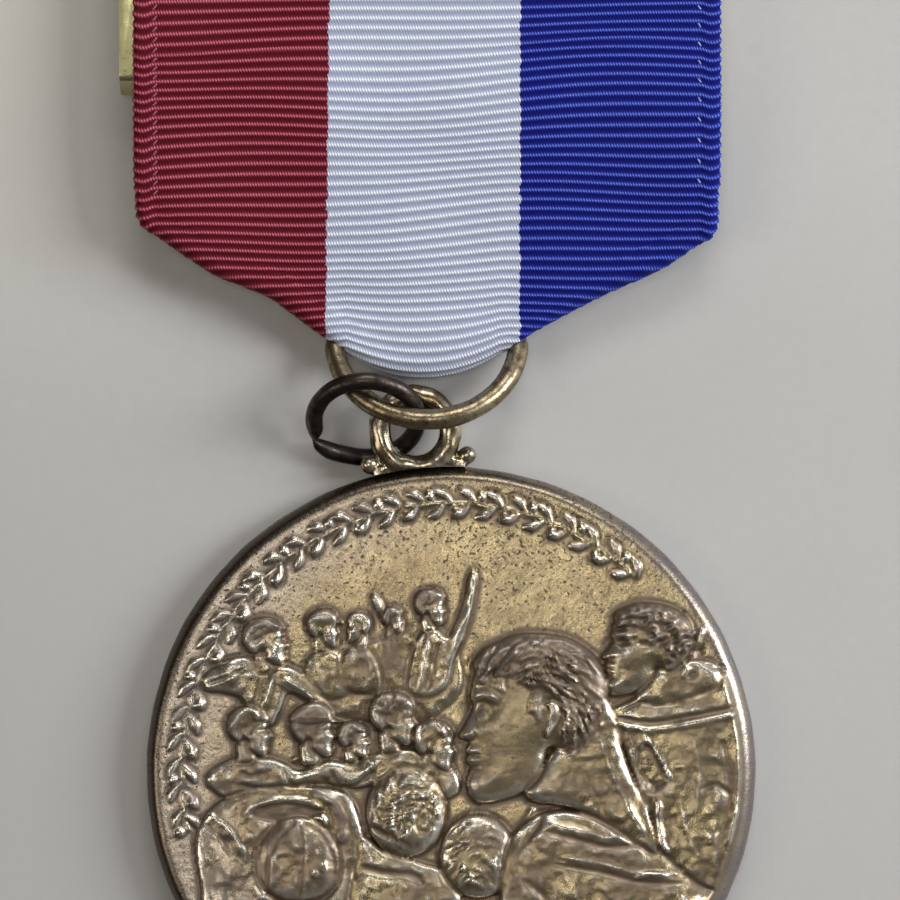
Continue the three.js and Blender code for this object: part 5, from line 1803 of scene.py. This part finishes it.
brass = metal_material("olive_brass", lin(176, 168, 118), lin(204, 198, 150), lin(104, 92, 58), 0.30, 0.5, 0.5, (0.12, 3.0, 1.0))
nickel = metal_material("pin_nickel", lin(190, 188, 182), lin(222, 220, 214), lin(112, 106, 98), 0.22, 0.35, 0.25, (0.15, 3.0, 3.0))


def raw_box(name, x0, x1, y0, y1, z0, z1):
    v = [(x, y, z) for x in (x0, x1) for y in (y0, y1) for z in (z0, z1)]
    f = [(0, 1, 3, 2), (4, 6, 7, 5), (0, 4, 5, 1), (2, 3, 7, 6), (0, 2, 6, 4), (1, 5, 7, 3)]
    return outward(new_object(name, v, f, smooth=False))


def fit_piece(ob, mat, node, body):
    give(ob, mat)
    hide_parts(node)
    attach(ob, body)
    return ob


def round_rect(x0, x1, y0, y1, r, n=8):
    return arc(x1 - r, y1 - r, r, 0, 90, n) + arc(x0 + r, y1 - r, r, 90, 180, n) + arc(x0 + r, y0 + r, r, 180, 270, n) + arc(x1 - r, y0 + r, r, 270, 360, n)


# bent bar: flat strip, slot for the ribbon, lower edge turned back into a lip
outer = [(27.0, 3.0), (27.0, 3.5)] + [(15.52, 3.5)]
bend = arc(15.52, 2.92, 0.58, 90, 152, 8)[1:]
lip_o = [(14.36, 2.06)] + arc(14.52, 1.97, 0.17, 150, 330, 8)[1:]
inner_ = [(15.36, 2.86)] + arc(15.52, 2.80, 0.20, 150, 92, 5)[1:]
section = outer + bend + lip_o + inner_
plate = polygon_plate("brooch_bar", section, -18.25, 17.1, axis="X")
plan = [(-18.25, 12.5), (17.1, 12.5)] + arc(17.1 - 0.9, 26.1, 0.9, 0, 90, 12) + arc(-18.25 + 0.9, 26.1, 0.9, 90, 180, 12)
slot_ring = round_rect(-16.85, 16.75, 24.3, 25.7, 0.4)
cutter = polygon_plate("cutter", plan, 0.5, 5.0, axis="Z", holes=[slot_ring])
boolean(plate, cutter, "INTERSECT")
bevelled(plate, 0.07, 2, 45)
fit_piece(plate, brass, "brooch_plate", "brooch")

PY, PZ, HX, KX = 20.65, 1.35, 12.5, -12.5
ears = [(2.93, HX - 1.5), (2.93, HX + 1.5), (2.5, HX + 1.5)] + arc(PZ, HX, 1.2, 60, 300, 28) + [(2.5, HX - 1.5)]
bracket = polygon_plate("pin_hinge", ears, PY - 1.35, PY + 1.35, axis="Y")
boolean(bracket, raw_box("c", HX - 2, HX + 2, PY - 0.9, PY + 0.9, -1, 2.5), "DIFFERENCE")
boolean(bracket, polygon_plate("c", circle(PZ, HX, 0.45, 32), PY - 3, PY + 3, axis="Y"), "DIFFERENCE")
bevelled(bracket, 0.06, 2, 45)
fit_piece(bracket, brass, "hinge_bracket", "brooch")

rivet = lathe("pin_rivet", [(0, -1.75), (0.30, -1.745), (0.48, -1.71), (0.60, -1.64), (0.655, -1.56), (0.66, -1.47), (0.64, -1.45), (0.36, -1.45),
                            (0.35, -1.42), (0.35, 1.42), (0.36, 1.45), (0.64, 1.45), (0.66, 1.47), (0.655, 1.56), (0.60, 1.64),
                            (0.48, 1.71), (0.30, 1.745), (0, 1.75)], (HX, PY, PZ), axis="Y", n=40)
shade(rivet, 40)
fit_piece(rivet, nickel, "hinge_rivet", "brooch")

eye_p = polygon_plate("pin", circle(PZ, HX, 1.0, 48), PY - 0.75, PY + 0.75, axis="Y")
stem = lathe("stem", [(0, 0), (0.50, 0.0), (0.50, 0.2), (0.42, 1.2), (0.42, 22.8), (0.40, 23.2), (0.28, 24.6), (0.17, 25.5), (0.10, 26.0), (0.05, 26.15), (0, 26.2)],
             (0, 0, 0), axis="Z", n=32)
sv = np.empty(len(stem.data.vertices) * 3, np.float32)
stem.data.vertices.foreach_get("co", sv)
sv = sv.reshape(-1, 3) * 1000 + np.array([CX, CY, 0])
sv = np.stack([HX - 0.7 - sv[:, 2], PY + sv[:, 1], PZ + sv[:, 0]], -1)
stem.data.vertices.foreach_set("co", to_row(sv).astype(np.float32).ravel())
outward(stem)
boolean(eye_p, stem, "UNION")
boolean(eye_p, polygon_plate("c", circle(PZ, HX, 0.45, 32), PY - 2, PY + 2, axis="Y"), "DIFFERENCE")
bevelled(eye_p, 0.05, 2, 50)
eye_p.name = "pin_wire"
fit_piece(eye_p, nickel, "pin_stem", "pin")

x0, x1 = KX - 1.0, KX + 1.0
catch_b = polygon_plate("catch_cheeks", circle(PY, PZ, 1.35, 56), x0, x1, axis="X")
boolean(catch_b, raw_box("c", x0, x1, PY - 1.0, PY + 1.0, PZ, 2.6), "UNION")
boolean(catch_b, raw_box("c", x0 - 0.35, x1 + 0.35, PY - 1.4, PY + 1.4, 2.5, 2.93), "UNION")
boolean(catch_b, polygon_plate("c", circle(PY, PZ, 0.97, 48), x0 - 1, x1 + 1, axis="X"), "DIFFERENCE")
boolean(catch_b, raw_box("c", x0 - 1, x1 + 1, PY - 0.56, PY + 0.56, -1, PZ), "DIFFERENCE")
boolean(catch_b, raw_box("c", KX - 0.42, KX + 0.42, PY - 3, PY + 3, -1, 2.5), "DIFFERENCE")
bevelled(catch_b, 0.05, 2, 45)
fit_piece(catch_b, brass, "catch_body", "brooch")

lock = polygon_plate("catch_rotor", circle(PY, PZ, 0.86, 48), x0 + 0.05, x1 - 0.05, axis="X")
lever = arc(PY, PZ, 1.12, 40, 320, 36) + [(PY + 1.5, PZ - 0.30), (PY + 1.9, PZ - 0.33)] + arc(PY + 2.06, PZ, 0.36, -70, 70, 12) + \
    [(PY + 1.9, PZ + 0.33), (PY + 1.5, PZ + 0.30)]
boolean(lock, polygon_plate("c", lever, KX - 0.3, KX + 0.3, axis="X"), "UNION")
boolean(lock, polygon_plate("c", circle(PY, PZ, 0.58, 40), x0 - 1, x1 + 1, axis="X"), "DIFFERENCE")
boolean(lock, raw_box("c", x0 - 1, x1 + 1, PY - 0.5, PY + 0.5, -1, PZ), "DIFFERENCE")
bevelled(lock, 0.05, 2, 45)
fit_piece(lock, nickel, "catch_lock", "lock")
